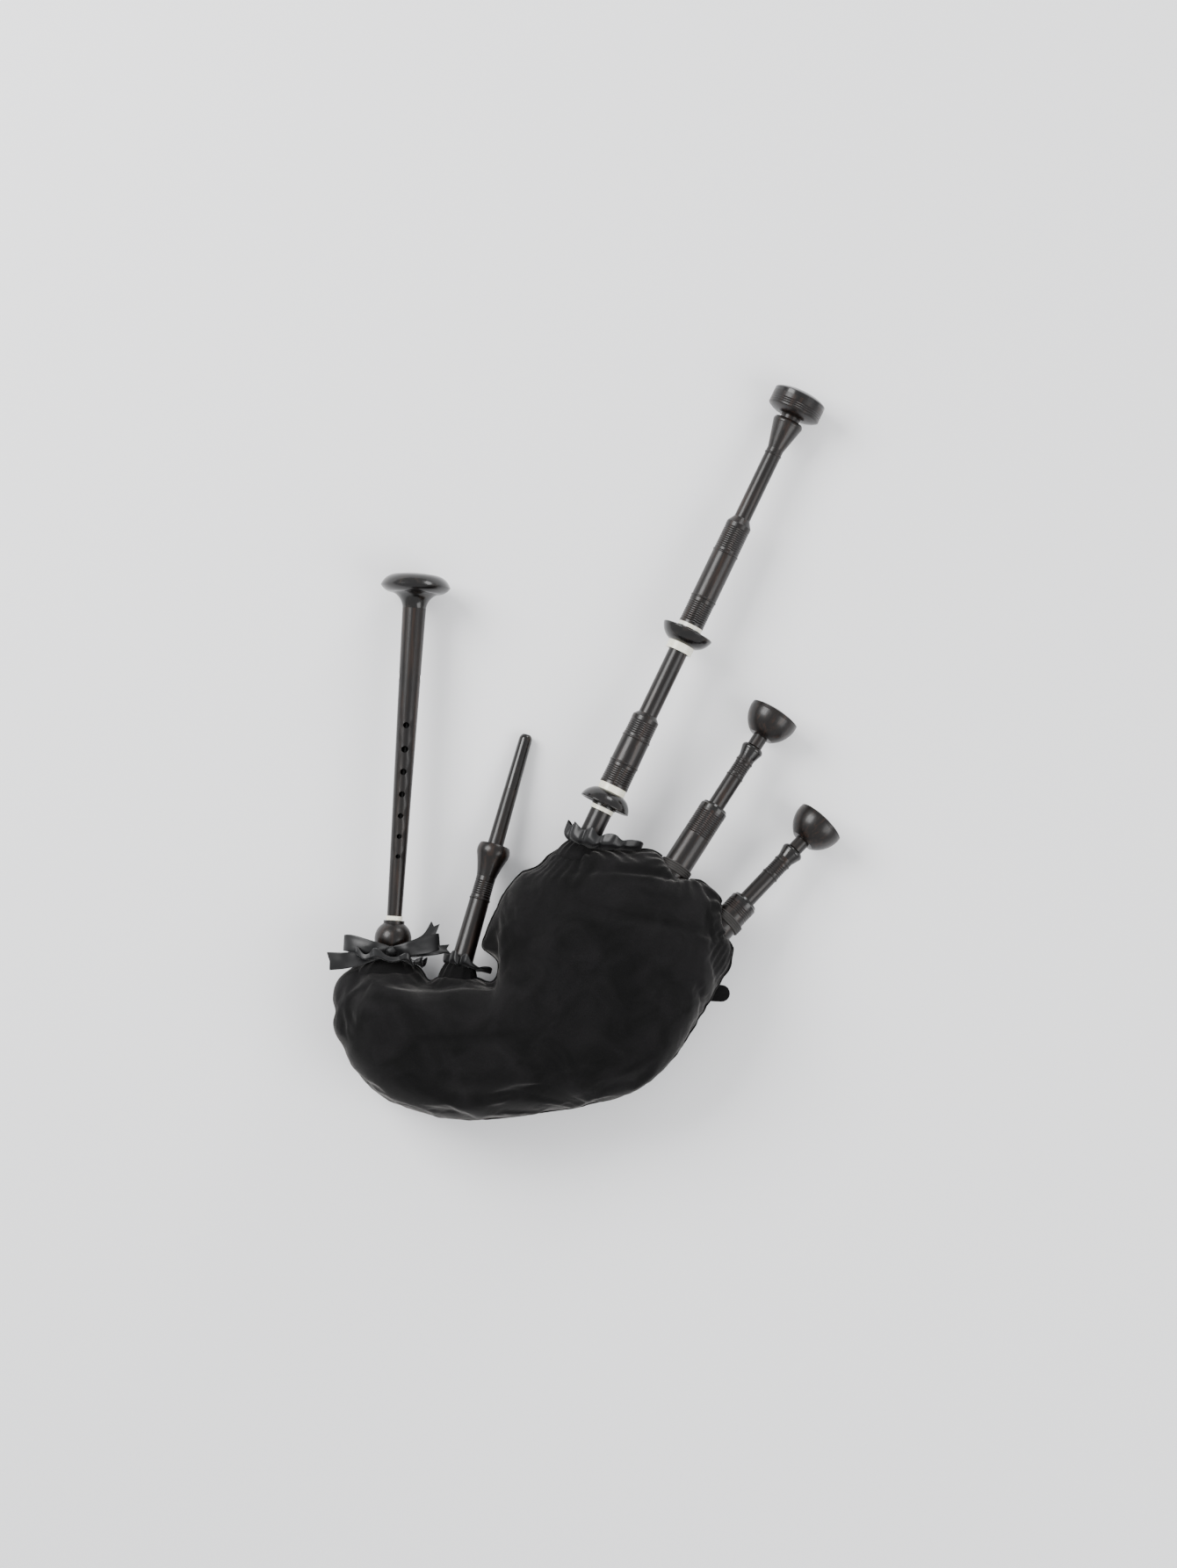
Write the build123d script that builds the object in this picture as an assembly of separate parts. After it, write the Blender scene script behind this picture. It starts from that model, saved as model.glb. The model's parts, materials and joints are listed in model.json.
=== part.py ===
"""Bagpipes laid out flat on a table: a covered bag, five stocks tied into it, a chanter, a blowpipe,
a bass drone of three joints and two tenor drones.

Millimetres. +Z is up off the table, +Y is the way the pipes point, and the origin is on the table, in the
middle of the flat patch that the bag lies on. Each pipe is modelled along its own axis, from the point
where its stock is tied into the bag, and is then laid in place.
"""

import os
from math import asin, cos, hypot, radians, sin

from build123d import *

# ---- Fits and gaps ----
SEAT = 0.05  # between a ring, mount or band and the wood that it is glued on
SLIDE = 0.05  # radial room of a hemp-wrapped tenon or a tuning pin in its socket
TABLE_GAP = 0.5  # how far a pipe's far end stays off the table
LEAN_ROOM = 1.4  # radial room of a stock in the bag's wall, beyond what its lean needs
LEAN = 8.0  # degrees that a stock can lean either way in the bag's soft wall
LEAN_REACH = 22.0  # how far out from the tie the wall can lie along a stock
ROOM_DEPTH = 34.0  # how far inside the tie the passage runs

# ---- Bag ----
BAG_TOP = 120.0  # thickness of the filled bag
BAG_SEAM = 56.0  # height of the seam round its edge, where the stocks come out
NECK_SEAM = 46.0  # the same at the end of the neck
COVER_WALL = 2.0
HIDE_WALL = 3.0
HIDE_GAP = 1.5  # between the hide bag and the cover

# The bag in plan: each point of its edge, and the point of its spine from which it swells out there.
BAG_PLAN = (
    ((17, 127), (40, 38)),
    ((60, 128), (56, 38)),
    ((110, 111), (72, 28)),
    ((145, 86), (80, 16)),
    ((161, 58), (82, 4)),
    ((158, 8), (78, -10)),
    ((138, -30), (68, -26)),
    ((104, -80), (48, -42)),
    ((44, -116), (14, -56)),
    ((-34, -129), (-34, -66)),
    ((-112, -129), (-98, -68)),
    ((-180, -106), (-142, -62)),
    ((-217, -62), (-160, -48)),
    ((-220, -12), (-164, -36)),
    ((-171, 15), (-154, -30)),
    ((-134, 0), (-132, -46)),
    ((-104, 7), (-108, -50)),
    ((-70, 0), (-76, -48)),
    ((-64, 26), (-28, -16)),
    ((-60, 74), (6, 18)),
    ((-28, 113), (24, 34)),
)
BAG_LEVELS = (-60, -25, 10, 45, 75)  # degrees round the section, from the table to the top

# ---- Where each stock is tied in: plan position, and heading in degrees from +Y towards +X ----
CHANTER_TIE, CHANTER_HEADING = (-170.7, 15.0), 3.6
BLOWPIPE_TIE, BLOWPIPE_HEADING = (-104.3, 7.0), 15.8
BASS_TIE, BASS_HEADING = (17.4, 127.0), 25.7
TENOR_1_TIE, TENOR_1_HEADING = (109.5, 110.0), 33.1
TENOR_2_TIE, TENOR_2_HEADING = (160.0, 59.1), 44.2

# ---- Stocks: heights are along the pipe, from the tie ----
TIE_TURNS = 4
TIE_CORD = 1.1  # radius of the waxed cord round each stock
TIE_HEIGHT = 5.4  # middle of the winding
STOCK_FLANGE = 2.5  # how far the ridge inside the bag stands out of the stock
STOCK_FLANGE_LENGTH = 4.0

# ---- Hemp-wrapped tenons ----
HEMP_DEPTH = 1.0  # of the bed that the hemp is wound in, under the socket's radius
HEMP_PROUD = 0.2  # how far the hemp stands out over the collars at the tenon's ends
GROOVE_DEPTH = 0.8  # of the hemp's bed in a tuning pin and in a tenor's joint

# ---- Frills: soft gathered collars round the stocks ----
FRILL_GAP = 0.4  # between a frill's band and its stock
FRILL_BAND = 3.0  # thickness of the gathered band
FRILL_FLAT = 6.0  # how far the band lies flat before it flares, to leave room for a ball above it
CHANTER_FRILL = (34.0, 11.0, 32.0)  # radius, and heights of its base, above the tie, and its top
BLOWPIPE_FRILL = (22.0, 11.0, 24.0)
BASS_FRILL = (38.0, 17.0, 38.0)

# ---- Chanter ----
CHANTER_STOCK_R, CHANTER_STOCK_INSIDE = 12.0, 38.0
BALL_R, BALL_CENTRE = 18.5, 29.7
BALL_SPIGOT_R, BALL_FOOT = 10.5, 15.0  # the wood inside the ball, and its shoulder below the centre
CHANTER_START = 52.5  # the narrow end of the melody pipe, above its pale ring
CHANTER_RING = 4.3  # length of the pale ring
CHANTER_TOP_R, CHANTER_FOOT_R = 7.45, 11.9
CHANTER_SOLE_START, CHANTER_END = 360.5, 395.5
SOLE_R = 35.0
SOLE_BORE_R, SOLE_BORE_LENGTH = 9.0, 12.5
CHANTER_TENON_R, CHANTER_TENON = 6.9, 26.0
CHANTER_BORE_R = 2.6
CHANTER_CAVITY_R = 8.0  # round the reed, inside the stock
FINGER_HOLES = (  # height and radius of the seven finger holes
    (112.0, 2.3), (132.0, 2.5), (152.5, 2.7), (174.0, 3.0),
    (196.5, 3.2), (219.0, 3.4), (243.0, 3.1),
)
THUMB_HOLE = (100.0, 2.4)
SOUND_HOLES = (292.0, 3.6)  # a pair across the pipe, which no finger covers

# ---- Blowpipe ----
BLOW_STOCK_FOOT_R, BLOW_STOCK_R, BLOW_STOCK_INSIDE = 11.0, 9.7, 30.0
BLOW_CUP_START, BLOW_CUP_END, BLOW_CUP_R = 103.4, 137.0, 16.5
BLOW_TENON_R, BLOW_TENON = 6.0, 38.0
BLOW_R, BLOW_TIP_R = 8.1, 6.6
BLOW_SPLIT, BLOW_END = 196.0, 254.0  # where the mouthpiece starts, and its tip
BLOW_BORE_R = 4.0
BLOW_REBATE, BLOW_CUP_FLOOR = 1.3, 8.0  # the cup's seat on the stock, and how deep its mouth is
BLOW_SINK = 7.0  # how far the blowpipe's shoulder stands down in the cup
FLAP_R, FLAP_THICKNESS = 5.0, 0.8

# ---- Bass drone ----
BASS_STOCK_R, BASS_STOCK_INSIDE, BASS_STOCK_TOP = 11.0, 45.0, 49.8
BASS_BORE_R = 7.0  # of the stock
BASS_BAND = 4.4  # length of the pale band on the stock
BASS_REBATE = 1.6  # depth of that band's seat
BASS_MOUNT_1 = 16.6  # length of the lower projecting mount
BASS_BAND_2 = 7.0
BASS_BODY_1_R, BASS_BODY_1_TOP_R, BASS_BODY_1_END = 14.8, 13.9, 152.6
BASS_SHOULDER = 4.4
BASS_PIN_R = 9.75
BASS_MIDDLE_START = 227.0
BASS_BAND_3, BASS_MOUNT_2, BASS_BAND_4 = 8.3, 17.1, 3.9
BASS_BODY_2_R, BASS_BODY_2_END = 12.9, 368.0
BASS_SHOULDER_2 = 7.0
BASS_PIN_2_R = 8.35
BASS_CUP_START, BASS_CUP_END, BASS_CUP_R = 452.7, 484.2, 15.4
BASS_CUP_DEPTH = 11.0
BASS_NECK_R = 10.0
BASS_DRUM_START, BASS_DRUM_END, BASS_DRUM_R = 489.5, 515.7, 27.1
BASS_DRUM_WALL, BASS_CAP = 7.0, 9.0  # thickness of the head's wall, and length of its ring cap
MOUNT_R = 25.6  # rim of a projecting mount
BASS_PIN_IN_SOCKET = 58.0  # how much of the tuning pin is inside the middle joint
BASS_TUNE_IN, BASS_TUNE_OUT = 55.0, 25.0
BASS_TOP_IN, BASS_TOP_OUT = 3.5, 12.0

# ---- Tenor drones ----
TENOR_STOCK_R, TENOR_STOCK_INSIDE, TENOR_BORE_R = 14.5, 42.0, 8.6
TENOR_1_STOCK_TOP, TENOR_2_STOCK_TOP = 80.5, 33.5
TENOR_FERRULE, FERRULE_WALL = 7.0, 2.0
TENOR_JOINT_R, TENOR_JOINT = 8.45, 58.5  # the part of the joint that shows below its ring
TENOR_TENON = 34.0
TENOR_RING_R, TENOR_RING = 11.3, 13.5
TENOR_NECK_R, TENOR_NECK = 7.5, 12.0
TENOR_SPIGOT = 5.5  # length of the wood inside the joint's ring
TENOR_BELL_R, TENOR_BELL = 25.7, 29.0
BELL_SOCKET_R, BELL_TENON_R, BELL_WRAP_R = 5.6, 5.4, 4.6
BELL_LIP, BUSH = 6.0, 3.5  # width of the bell's rim, and how deep its bush is let in
TENOR_TOP_IN, TENOR_TOP_OUT = 3.0, 10.0

# ---- Drone mouths and reeds ----
MOUTH_R = 7.0  # bore of the bush in a drone's mouth
DRONE_BORE_R = 4.0
REED_SEAT_R, REED_SEAT = 3.2, 9.0
REED_R = 4.4
REED_FLAT = 3.0  # distance of the reed's flat from its axis
TONGUE_WIDTH, TONGUE_THICKNESS = 4.4, 0.5
TONGUE_LIFT = 1.6  # degrees that the tongue stands open at rest
BASS_REED, TENOR_REED = 62.0, 46.0


# ---- Turned ornament ----
COMB_PITCH, COMB_DEPTH = 2.2, 0.45  # rows of fine grooves, as cut with a comb tool
COMB_SHARE = 0.7  # how much of the pitch is groove, the rest being the ridge's flat top
BEAD_WIDTH, BEAD_HEIGHT = 2.4, 0.7


# ---- Ways of shaping ----
def turned(start, *steps):
    """A solid turned about Z. A section point is (radius, height). A step is the next point, or a pair of
    points, the middle and the end of an arc."""
    here, edges = start, []
    for step in (*steps, start):
        if isinstance(step[0], tuple):
            middle, end = step
            edges.append(ThreePointArc(here, middle, end))
        else:
            end = step
            edges.append(Line(here, end))
        here = end
    return revolve(Plane.XZ * make_face(edges), Axis.Z)


def on_line(foot, head, height):
    """The radius at that height of a straight line between two section points."""
    return foot[0] + (head[0] - foot[0]) * (height - foot[1]) / (head[1] - foot[1])


def comb(foot, head, start, count):
    """Section points of a row of grooves, from height start up the line between foot and head."""
    points = []
    for i in range(count):
        low = start + i * COMB_PITCH
        for share, cut in ((0, 0), (COMB_SHARE / 2, COMB_DEPTH), (COMB_SHARE, 0)):
            height = low + share * COMB_PITCH
            points.append((on_line(foot, head, height) - cut, height))
    return points


def bead(foot, head, start):
    """Section steps of a half-round ring standing on the line between foot and head."""
    middle, end = start + BEAD_WIDTH / 2, start + BEAD_WIDTH
    crown = (on_line(foot, head, middle) + BEAD_HEIGHT, middle)
    return [(on_line(foot, head, start), start), (crown, (on_line(foot, head, end), end))]


def tube(outer, inner, low, high):
    """A plain ring or tube."""
    return turned((inner, low), (outer, low), (outer, high), (inner, high))


def rod(radius, low, high):
    """A plain cylinder."""
    return Pos(0, 0, low) * Cylinder(radius, high - low, align=(Align.CENTER, Align.CENTER, Align.MIN))


def block(low, high):
    """A box from one corner to the other."""
    size = [b - a for a, b in zip(low, high)]
    middle = [(a + b) / 2 for a, b in zip(low, high)]
    return Pos(*middle) * Box(*size)


class Pipe:
    """One pipe's axis. It leaves the bag at the tie and dips so that its far end just clears the table."""

    def __init__(self, tie, heading, seam, end_radius, reach):
        self.tie = (*tie, seam)
        drop = seam - end_radius - TABLE_GAP
        flat = cos(asin(drop / reach))
        east, north = sin(radians(heading)), cos(radians(heading))
        self.along = (east * flat, north * flat, -drop / reach)
        self.across = (-north, east, 0)  # level, to the left of the pipe, so that local +Y is up

    def lay(self, shape):
        """The shape, moved from its own axis to the pipe's."""
        return Plane(origin=self.tie, x_dir=self.across, z_dir=self.along).location * shape

    def point(self, height):
        """The point of the axis at that height above the tie."""
        return tuple(a + height * b for a, b in zip(self.tie, self.along))

    def room(self, radius):
        """The passage that a leaning stock of that radius needs through the bag's wall."""
        spread = LEAN_REACH * sin(radians(LEAN))
        return self.lay(rod(radius + LEAN_ROOM + spread, -ROOM_DEPTH, LEAN_REACH))


CHANTER = Pipe(CHANTER_TIE, CHANTER_HEADING, NECK_SEAM, SOLE_R, CHANTER_END)
BLOWPIPE = Pipe(BLOWPIPE_TIE, BLOWPIPE_HEADING, NECK_SEAM, BLOW_TIP_R, BLOW_END)
BASS = Pipe(BASS_TIE, BASS_HEADING, BAG_SEAM, BASS_DRUM_R, BASS_DRUM_END)
TENOR_1_END = TENOR_1_STOCK_TOP + TENOR_JOINT + TENOR_RING + TENOR_NECK + TENOR_BELL
TENOR_2_END = TENOR_2_STOCK_TOP + TENOR_JOINT + TENOR_RING + TENOR_NECK + TENOR_BELL
TENOR_1 = Pipe(TENOR_1_TIE, TENOR_1_HEADING, BAG_SEAM, TENOR_BELL_R, TENOR_1_END)
TENOR_2 = Pipe(TENOR_2_TIE, TENOR_2_HEADING, BAG_SEAM, TENOR_BELL_R, TENOR_2_END)


# ---- Bag ----
def pillow(inset):
    """The filled bag, drawn in by inset all round: flat on the table, and lower at the neck."""
    main_spine = max(spine[0] for edge, spine in BAG_PLAN)
    neck_spine = min(spine[0] for edge, spine in BAG_PLAN)
    deepest, highest = sin(radians(-BAG_LEVELS[0])), sin(radians(BAG_LEVELS[-1]))
    rings = []
    for level in BAG_LEVELS:
        ring = []
        for edge, spine in BAG_PLAN:
            span = hypot(edge[0] - spine[0], edge[1] - spine[1])
            reach = (1 - inset / span) * cos(radians(level))
            neck = (main_spine - spine[0]) / (main_spine - neck_spine)
            seam = BAG_SEAM + (NECK_SEAM - BAG_SEAM) * neck
            if level < 0:
                height = seam + (seam - inset) * sin(radians(level)) / deepest
            else:
                height = seam + (BAG_TOP - inset - seam) * sin(radians(level)) / highest
            x, y = (s + reach * (e - s) for e, s in zip(edge, spine))
            ring.append((x, y, height))
        even = list(range(len(ring) + 1))
        rings.append(Wire([Edge.make_spline(ring, periodic=True, parameters=even)]))
    return Solid.make_loft(rings)


def bag_shell(inset, wall):
    """One layer of the bag, hollow, with a passage for each stock."""
    passages = (
        CHANTER.room(CHANTER_STOCK_R), BLOWPIPE.room(BLOW_STOCK_FOOT_R), BASS.room(BASS_STOCK_R),
        TENOR_1.room(TENOR_STOCK_R), TENOR_2.room(TENOR_STOCK_R),
    )
    return Part() + pillow(inset) - pillow(inset + wall) - passages


def bag_cover():
    return bag_shell(0, COVER_WALL)


def bag_hide():
    return bag_shell(COVER_WALL + HIDE_GAP, HIDE_WALL)


# ---- Pieces that several stocks have ----
def stock_tie(radius):
    """Turns of waxed cord wound side by side round a stock, as one hank that is tied tight."""
    low = TIE_HEIGHT - TIE_TURNS * TIE_CORD
    inner = radius + SEAT
    steps, height = [(inner + TIE_CORD, low)], low
    for _ in range(TIE_TURNS):
        steps.append(((inner + 2 * TIE_CORD, height + TIE_CORD), (inner + TIE_CORD, height + 2 * TIE_CORD)))
        height += 2 * TIE_CORD
    return turned((inner, low), *steps, (inner, height))


def frill(pipe, stock_radius, radius, low, top):
    """A gathered collar as a plain flared ring, cut level where it would meet the table."""
    inner = stock_radius + FRILL_GAP
    collar = pipe.lay(turned(
        (inner, low), (inner + FRILL_BAND, low), (radius, top - FRILL_BAND), (radius, top),
        (radius - FRILL_BAND, top), (inner + FRILL_FLAT, low + FRILL_BAND), (inner, low + FRILL_BAND),
    ))
    return collar - block((-500, -500, -100), (500, 900, 2 * TABLE_GAP))


def reed_body(seat, length):
    """A drone reed: a closed tube below its seat, with a flat and a slot that the tongue beats on, and the
    bridle ring that holds the tongue down."""
    tip = seat - length
    body = turned(
        (0, tip), (REED_R, tip), (REED_R, seat - 1), (REED_SEAT_R, seat - 1),
        (REED_SEAT_R, seat + REED_SEAT),
        (1.6, seat + REED_SEAT), (1.6, tip + 6), (0, tip + 6),
    )
    body -= block((-REED_R, REED_FLAT, tip - 1), (REED_R, REED_R + 1, seat - 12))
    body -= block((-1.1, 0, tip + 9), (1.1, REED_FLAT + 1, seat - 24))
    bridle = tube(REED_R + 1.6, REED_R + 0.7, seat - 20, seat - 17)
    return Part() + [body, bridle]


def tongue_pivot(seat):
    """Where a tongue bends, at the upper end of the reed's flat."""
    return (0, REED_FLAT + SEAT, seat - 14)


def reed_tongue(seat, length):
    """The springy strip of a drone reed, standing a little open at rest."""
    x, y, root = tongue_pivot(seat)
    strip = block((-TONGUE_WIDTH / 2, y, seat - length + 3), (TONGUE_WIDTH / 2, y + TONGUE_THICKNESS, root))
    return strip.rotate(Axis((x, y, root), (1, 0, 0)), TONGUE_LIFT)


# ---- Chanter ----
def chanter_stock():
    """The stock, with a wide bore for the reed and a narrower one for the chanter's tenon."""
    inside, neck = -CHANTER_STOCK_INSIDE, BALL_SPIGOT_R
    top = BALL_CENTRE + BALL_R - 0.3
    socket = CHANTER_TENON_R + SLIDE
    step = CHANTER_START - CHANTER_RING - CHANTER_TENON - 3
    flange = CHANTER_STOCK_R + STOCK_FLANGE
    shape = turned(
        (CHANTER_CAVITY_R, inside), (CHANTER_STOCK_R, inside), (flange, inside + 1),
        (flange, inside + STOCK_FLANGE_LENGTH), (CHANTER_STOCK_R, inside + STOCK_FLANGE_LENGTH + 1),
        (CHANTER_STOCK_R, BALL_CENTRE - BALL_FOOT), (neck, BALL_CENTRE - BALL_FOOT), (neck, top),
        (socket, top), (socket, step), (CHANTER_CAVITY_R, step - 2),
    )
    return CHANTER.lay(shape)


def chanter_stock_ball():
    """The turned ball over the stock's end."""
    inner = BALL_SPIGOT_R + SEAT
    half = (BALL_R**2 - inner**2) ** 0.5
    low = BALL_CENTRE - BALL_FOOT + SEAT
    low_r = (BALL_R**2 - (BALL_CENTRE - low) ** 2) ** 0.5
    shape = turned(
        (inner, low), (low_r, low), ((BALL_R, BALL_CENTRE), (inner, BALL_CENTRE + half)),
    )
    return CHANTER.lay(shape)


def chanter_body():
    """The melody pipe, with its conical bore and its finger, thumb and sound holes."""
    start = CHANTER_START - CHANTER_RING
    tenon = start - CHANTER_TENON
    foot = CHANTER_END - SOLE_BORE_LENGTH
    spigot = CHANTER_FOOT_R - 0.9
    wrap, collar = CHANTER_TENON_R - HEMP_DEPTH, CHANTER_TENON_R - HEMP_PROUD
    shape = turned(
        (REED_SEAT_R, tenon), (collar, tenon), (collar, tenon + 3), (wrap, tenon + 3), (wrap, start - 3),
        (collar, start - 3), (collar, CHANTER_START), (CHANTER_TOP_R, CHANTER_START),
        (CHANTER_FOOT_R, CHANTER_SOLE_START), (spigot, CHANTER_SOLE_START), (spigot, foot),
        (SOLE_BORE_R, foot), (CHANTER_BORE_R, tenon + 14), (REED_SEAT_R, tenon + 13),
    )
    holes = []
    for height, radius in FINGER_HOLES:
        holes.append(Pos(0, 0, height) * Rot(-90, 0, 0) * rod(radius, 0, 30))
    height, radius = THUMB_HOLE
    holes.append(Pos(0, 0, height) * Rot(90, 0, 0) * rod(radius, 0, 30))
    height, radius = SOUND_HOLES
    holes.append(Pos(0, 0, height) * Rot(0, 90, 0) * rod(radius, -30, 30))
    return CHANTER.lay(shape - holes)


def chanter_ring():
    """The pale ring at the chanter's narrow end."""
    return CHANTER.lay(tube(
        CHANTER_TOP_R + 0.9, CHANTER_TENON_R - HEMP_PROUD + SEAT, CHANTER_START - CHANTER_RING, CHANTER_START
    ))


def chanter_sole():
    """The flared foot, with a cushioned face and a plain round mouth."""
    low, high = CHANTER_SOLE_START + SEAT, CHANTER_END
    spigot = CHANTER_FOOT_R - 0.9 + SEAT
    mouth = high - SOLE_BORE_LENGTH
    shape = turned(
        (spigot, low), (CHANTER_FOOT_R, low),
        ((CHANTER_FOOT_R + 3.2, low + 9), (CHANTER_FOOT_R + 11, low + 15)),
        ((SOLE_R - 4, low + 17.6), (SOLE_R, low + 22)),
        ((SOLE_R - 5, low + 29.5), (SOLE_R - 16, high - 1.2)),
        (SOLE_BORE_R + 2, high), (SOLE_BORE_R, high), (SOLE_BORE_R, mouth + SEAT), (spigot, mouth + SEAT),
    )
    return CHANTER.lay(shape)


def chanter_hemp():
    start = CHANTER_START - CHANTER_RING
    low, high = start - CHANTER_TENON + 3 + SEAT, start - 3 - SEAT
    return CHANTER.lay(tube(CHANTER_TENON_R, CHANTER_TENON_R - HEMP_DEPTH + SEAT, low, high))


def chanter_reed_staple():
    """The thin metal cone that the blades are tied to, seated in the chanter's top."""
    seat = CHANTER_START - CHANTER_RING - CHANTER_TENON
    staple = turned((1.7, seat + 12), (2.1, seat + 12), (2.5, seat - 9), (2.1, seat - 9))
    grip = REED_SEAT_R - SLIDE
    wrap = turned(
        (2.55, seat - 6), (3.9, seat - 6), (3.9, seat - 0.3), (grip, seat - 0.3), (grip, seat + 9),
        (2.55, seat + 9),
    )
    return CHANTER.lay(Part() + [staple, wrap])


def chanter_reed_blades():
    """Two cane blades, round where they are tied and spread flat at the lips."""
    seat = CHANTER_START - CHANTER_RING - CHANTER_TENON
    root, lips = seat - 6.2, seat - 30

    def flare(round_r, wide, thick):
        foot = Plane(origin=(0, 0, root), z_dir=(0, 0, -1)) * Ellipse(round_r, round_r * 0.98)
        tip = Plane(origin=(0, 0, lips), z_dir=(0, 0, -1)) * Ellipse(wide, thick)
        return loft([foot, tip])

    pair = flare(3.9, 6.6, 1.7) - flare(3.0, 5.9, 0.7)
    return CHANTER.lay(pair - block((-9, -0.15, lips - 1), (9, 0.15, root + 1)))


# ---- Blowpipe ----
def blowpipe_stock():
    """The stock, with a socket for the blowpipe's tenon and a wider room below for the valve."""
    inside, spigot = -BLOW_STOCK_INSIDE, BLOW_STOCK_R - BLOW_REBATE
    top = BLOW_CUP_END - BLOW_CUP_FLOOR
    flange = BLOW_STOCK_FOOT_R + STOCK_FLANGE
    socket = BLOW_TENON_R + SLIDE
    bottom = top - BLOW_TENON - 18
    foot, head = (BLOW_STOCK_FOOT_R, 0), (BLOW_STOCK_R, BLOW_CUP_START)
    shape = turned(
        (socket, inside), (BLOW_STOCK_FOOT_R, inside), (flange, inside + 1),
        (flange, inside + STOCK_FLANGE_LENGTH), (BLOW_STOCK_FOOT_R, inside + STOCK_FLANGE_LENGTH + 1),
        foot, *bead(foot, head, BLOW_CUP_START - 24), *comb(foot, head, BLOW_CUP_START - 19, 7), head,
        (spigot, BLOW_CUP_START), (spigot, top),
        (socket, top), (socket, bottom),
    )
    return BLOWPIPE.lay(shape)


def blowpipe_stock_cup():
    """The flared cup on the stock's top, which the blowpipe stands in."""
    low, high = BLOW_CUP_START + SEAT, BLOW_CUP_END
    inner = BLOW_STOCK_R - BLOW_REBATE + SEAT
    mouth, floor = BLOW_R + 0.4, high - BLOW_CUP_FLOOR + SEAT
    shape = turned(
        (inner, low), (BLOW_STOCK_R, low),
        ((BLOW_STOCK_R + 2.2, low + 10), (BLOW_CUP_R - 0.9, high - 12)),
        ((BLOW_CUP_R, high - 5), (BLOW_CUP_R - 1.6, high)),
        (BLOW_CUP_R - 4.5, high - 0.8), (mouth, high - 2.4), (mouth, floor), (inner, floor),
    )
    return BLOWPIPE.lay(shape)


def blow_radius(height):
    """The blowpipe narrows evenly from the cup to its tip."""
    start = BLOW_CUP_END - BLOW_SINK
    return BLOW_R + (BLOW_TIP_R - BLOW_R) * (height - start) / (BLOW_END - start)


def blowpipe_tube():
    """The wooden part of the blowpipe, with a wrapped tenon below and a socket for the mouthpiece."""
    start = BLOW_CUP_END - BLOW_SINK
    tenon = start - 1 - BLOW_TENON
    wrap, collar = BLOW_TENON_R - HEMP_DEPTH, BLOW_TENON_R - HEMP_PROUD
    split_r, socket = blow_radius(BLOW_SPLIT), BLOW_BORE_R + 1.3
    shape = turned(
        (BLOW_BORE_R, tenon), (collar, tenon), (collar, tenon + 4),
        (wrap, tenon + 4), (wrap, start - 5), (collar, start - 5), (collar, start),
        (BLOW_R, start), (split_r, BLOW_SPLIT), (socket, BLOW_SPLIT), (socket, BLOW_SPLIT - 14),
        (BLOW_BORE_R, BLOW_SPLIT - 14),
    )
    return BLOWPIPE.lay(shape)


def mouthpiece():
    """The part held in the lips, with a rounded tip."""
    low = BLOW_SPLIT + SEAT
    shoulder = BLOW_END - 5
    bore = BLOW_BORE_R - 0.6
    shape = turned(
        (bore, BLOW_SPLIT - 13.5), (BLOW_BORE_R + 1.2, BLOW_SPLIT - 13.5), (BLOW_BORE_R + 1.2, low),
        (blow_radius(BLOW_SPLIT), low), (BLOW_TIP_R, shoulder),
        ((BLOW_TIP_R - 1.0, BLOW_END - 1.6), (bore + 0.9, BLOW_END)), (bore, BLOW_END),
    )
    return BLOWPIPE.lay(shape)


def blowpipe_hemp():
    start = BLOW_CUP_END - BLOW_SINK
    low, high = start - 1 - BLOW_TENON + 4 + SEAT, start - 5 - SEAT
    return BLOWPIPE.lay(tube(BLOW_TENON_R, BLOW_TENON_R - HEMP_DEPTH + SEAT, low, high))


FLAP_TOP = BLOW_CUP_END - BLOW_CUP_FLOOR - BLOW_TENON - 0.3  # the face that seals on the tenon's end


def valve_flap():
    """The round flap that shuts the blowpipe's end when the player breathes in."""
    disc = rod(FLAP_R, FLAP_TOP - FLAP_THICKNESS, FLAP_TOP)
    stiffener = rod(FLAP_R - 1.8, FLAP_TOP - 2 * FLAP_THICKNESS, FLAP_TOP - FLAP_THICKNESS)
    return BLOWPIPE.lay(disc + stiffener)


# ---- Bass drone ----
def bass_stock():
    inside, top = -BASS_STOCK_INSIDE, BASS_STOCK_TOP
    flange = BASS_STOCK_R + STOCK_FLANGE
    spigot = BASS_STOCK_R - BASS_REBATE
    shape = turned(
        (BASS_BORE_R, inside), (BASS_STOCK_R, inside), (flange, inside + 1),
        (flange, inside + STOCK_FLANGE_LENGTH), (BASS_STOCK_R, inside + STOCK_FLANGE_LENGTH + 1),
        (BASS_STOCK_R, top), (spigot, top), (spigot, top + BASS_BAND - 0.4),
        (BASS_BORE_R, top + BASS_BAND - 0.4),
    )
    return BASS.lay(shape)


def bass_stock_band():
    """The pale band on the stock's top."""
    inner, top = BASS_STOCK_R - BASS_REBATE + SEAT, BASS_STOCK_TOP
    return BASS.lay(tube(BASS_STOCK_R + 0.8, inner, top + SEAT, top + BASS_BAND - 0.2))


BASS_START = BASS_STOCK_TOP + BASS_BAND  # the lower end of the bottom joint's mount
BASS_SPIGOT_R = 10.5  # the wood inside the lower mount and band
BASS_BODY_1 = BASS_START + BASS_MOUNT_1 + BASS_BAND_2
BASS_TENON_LOW = BASS_START - 34
BASS_PIN_END = BASS_MIDDLE_START + BASS_PIN_IN_SOCKET


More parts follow.
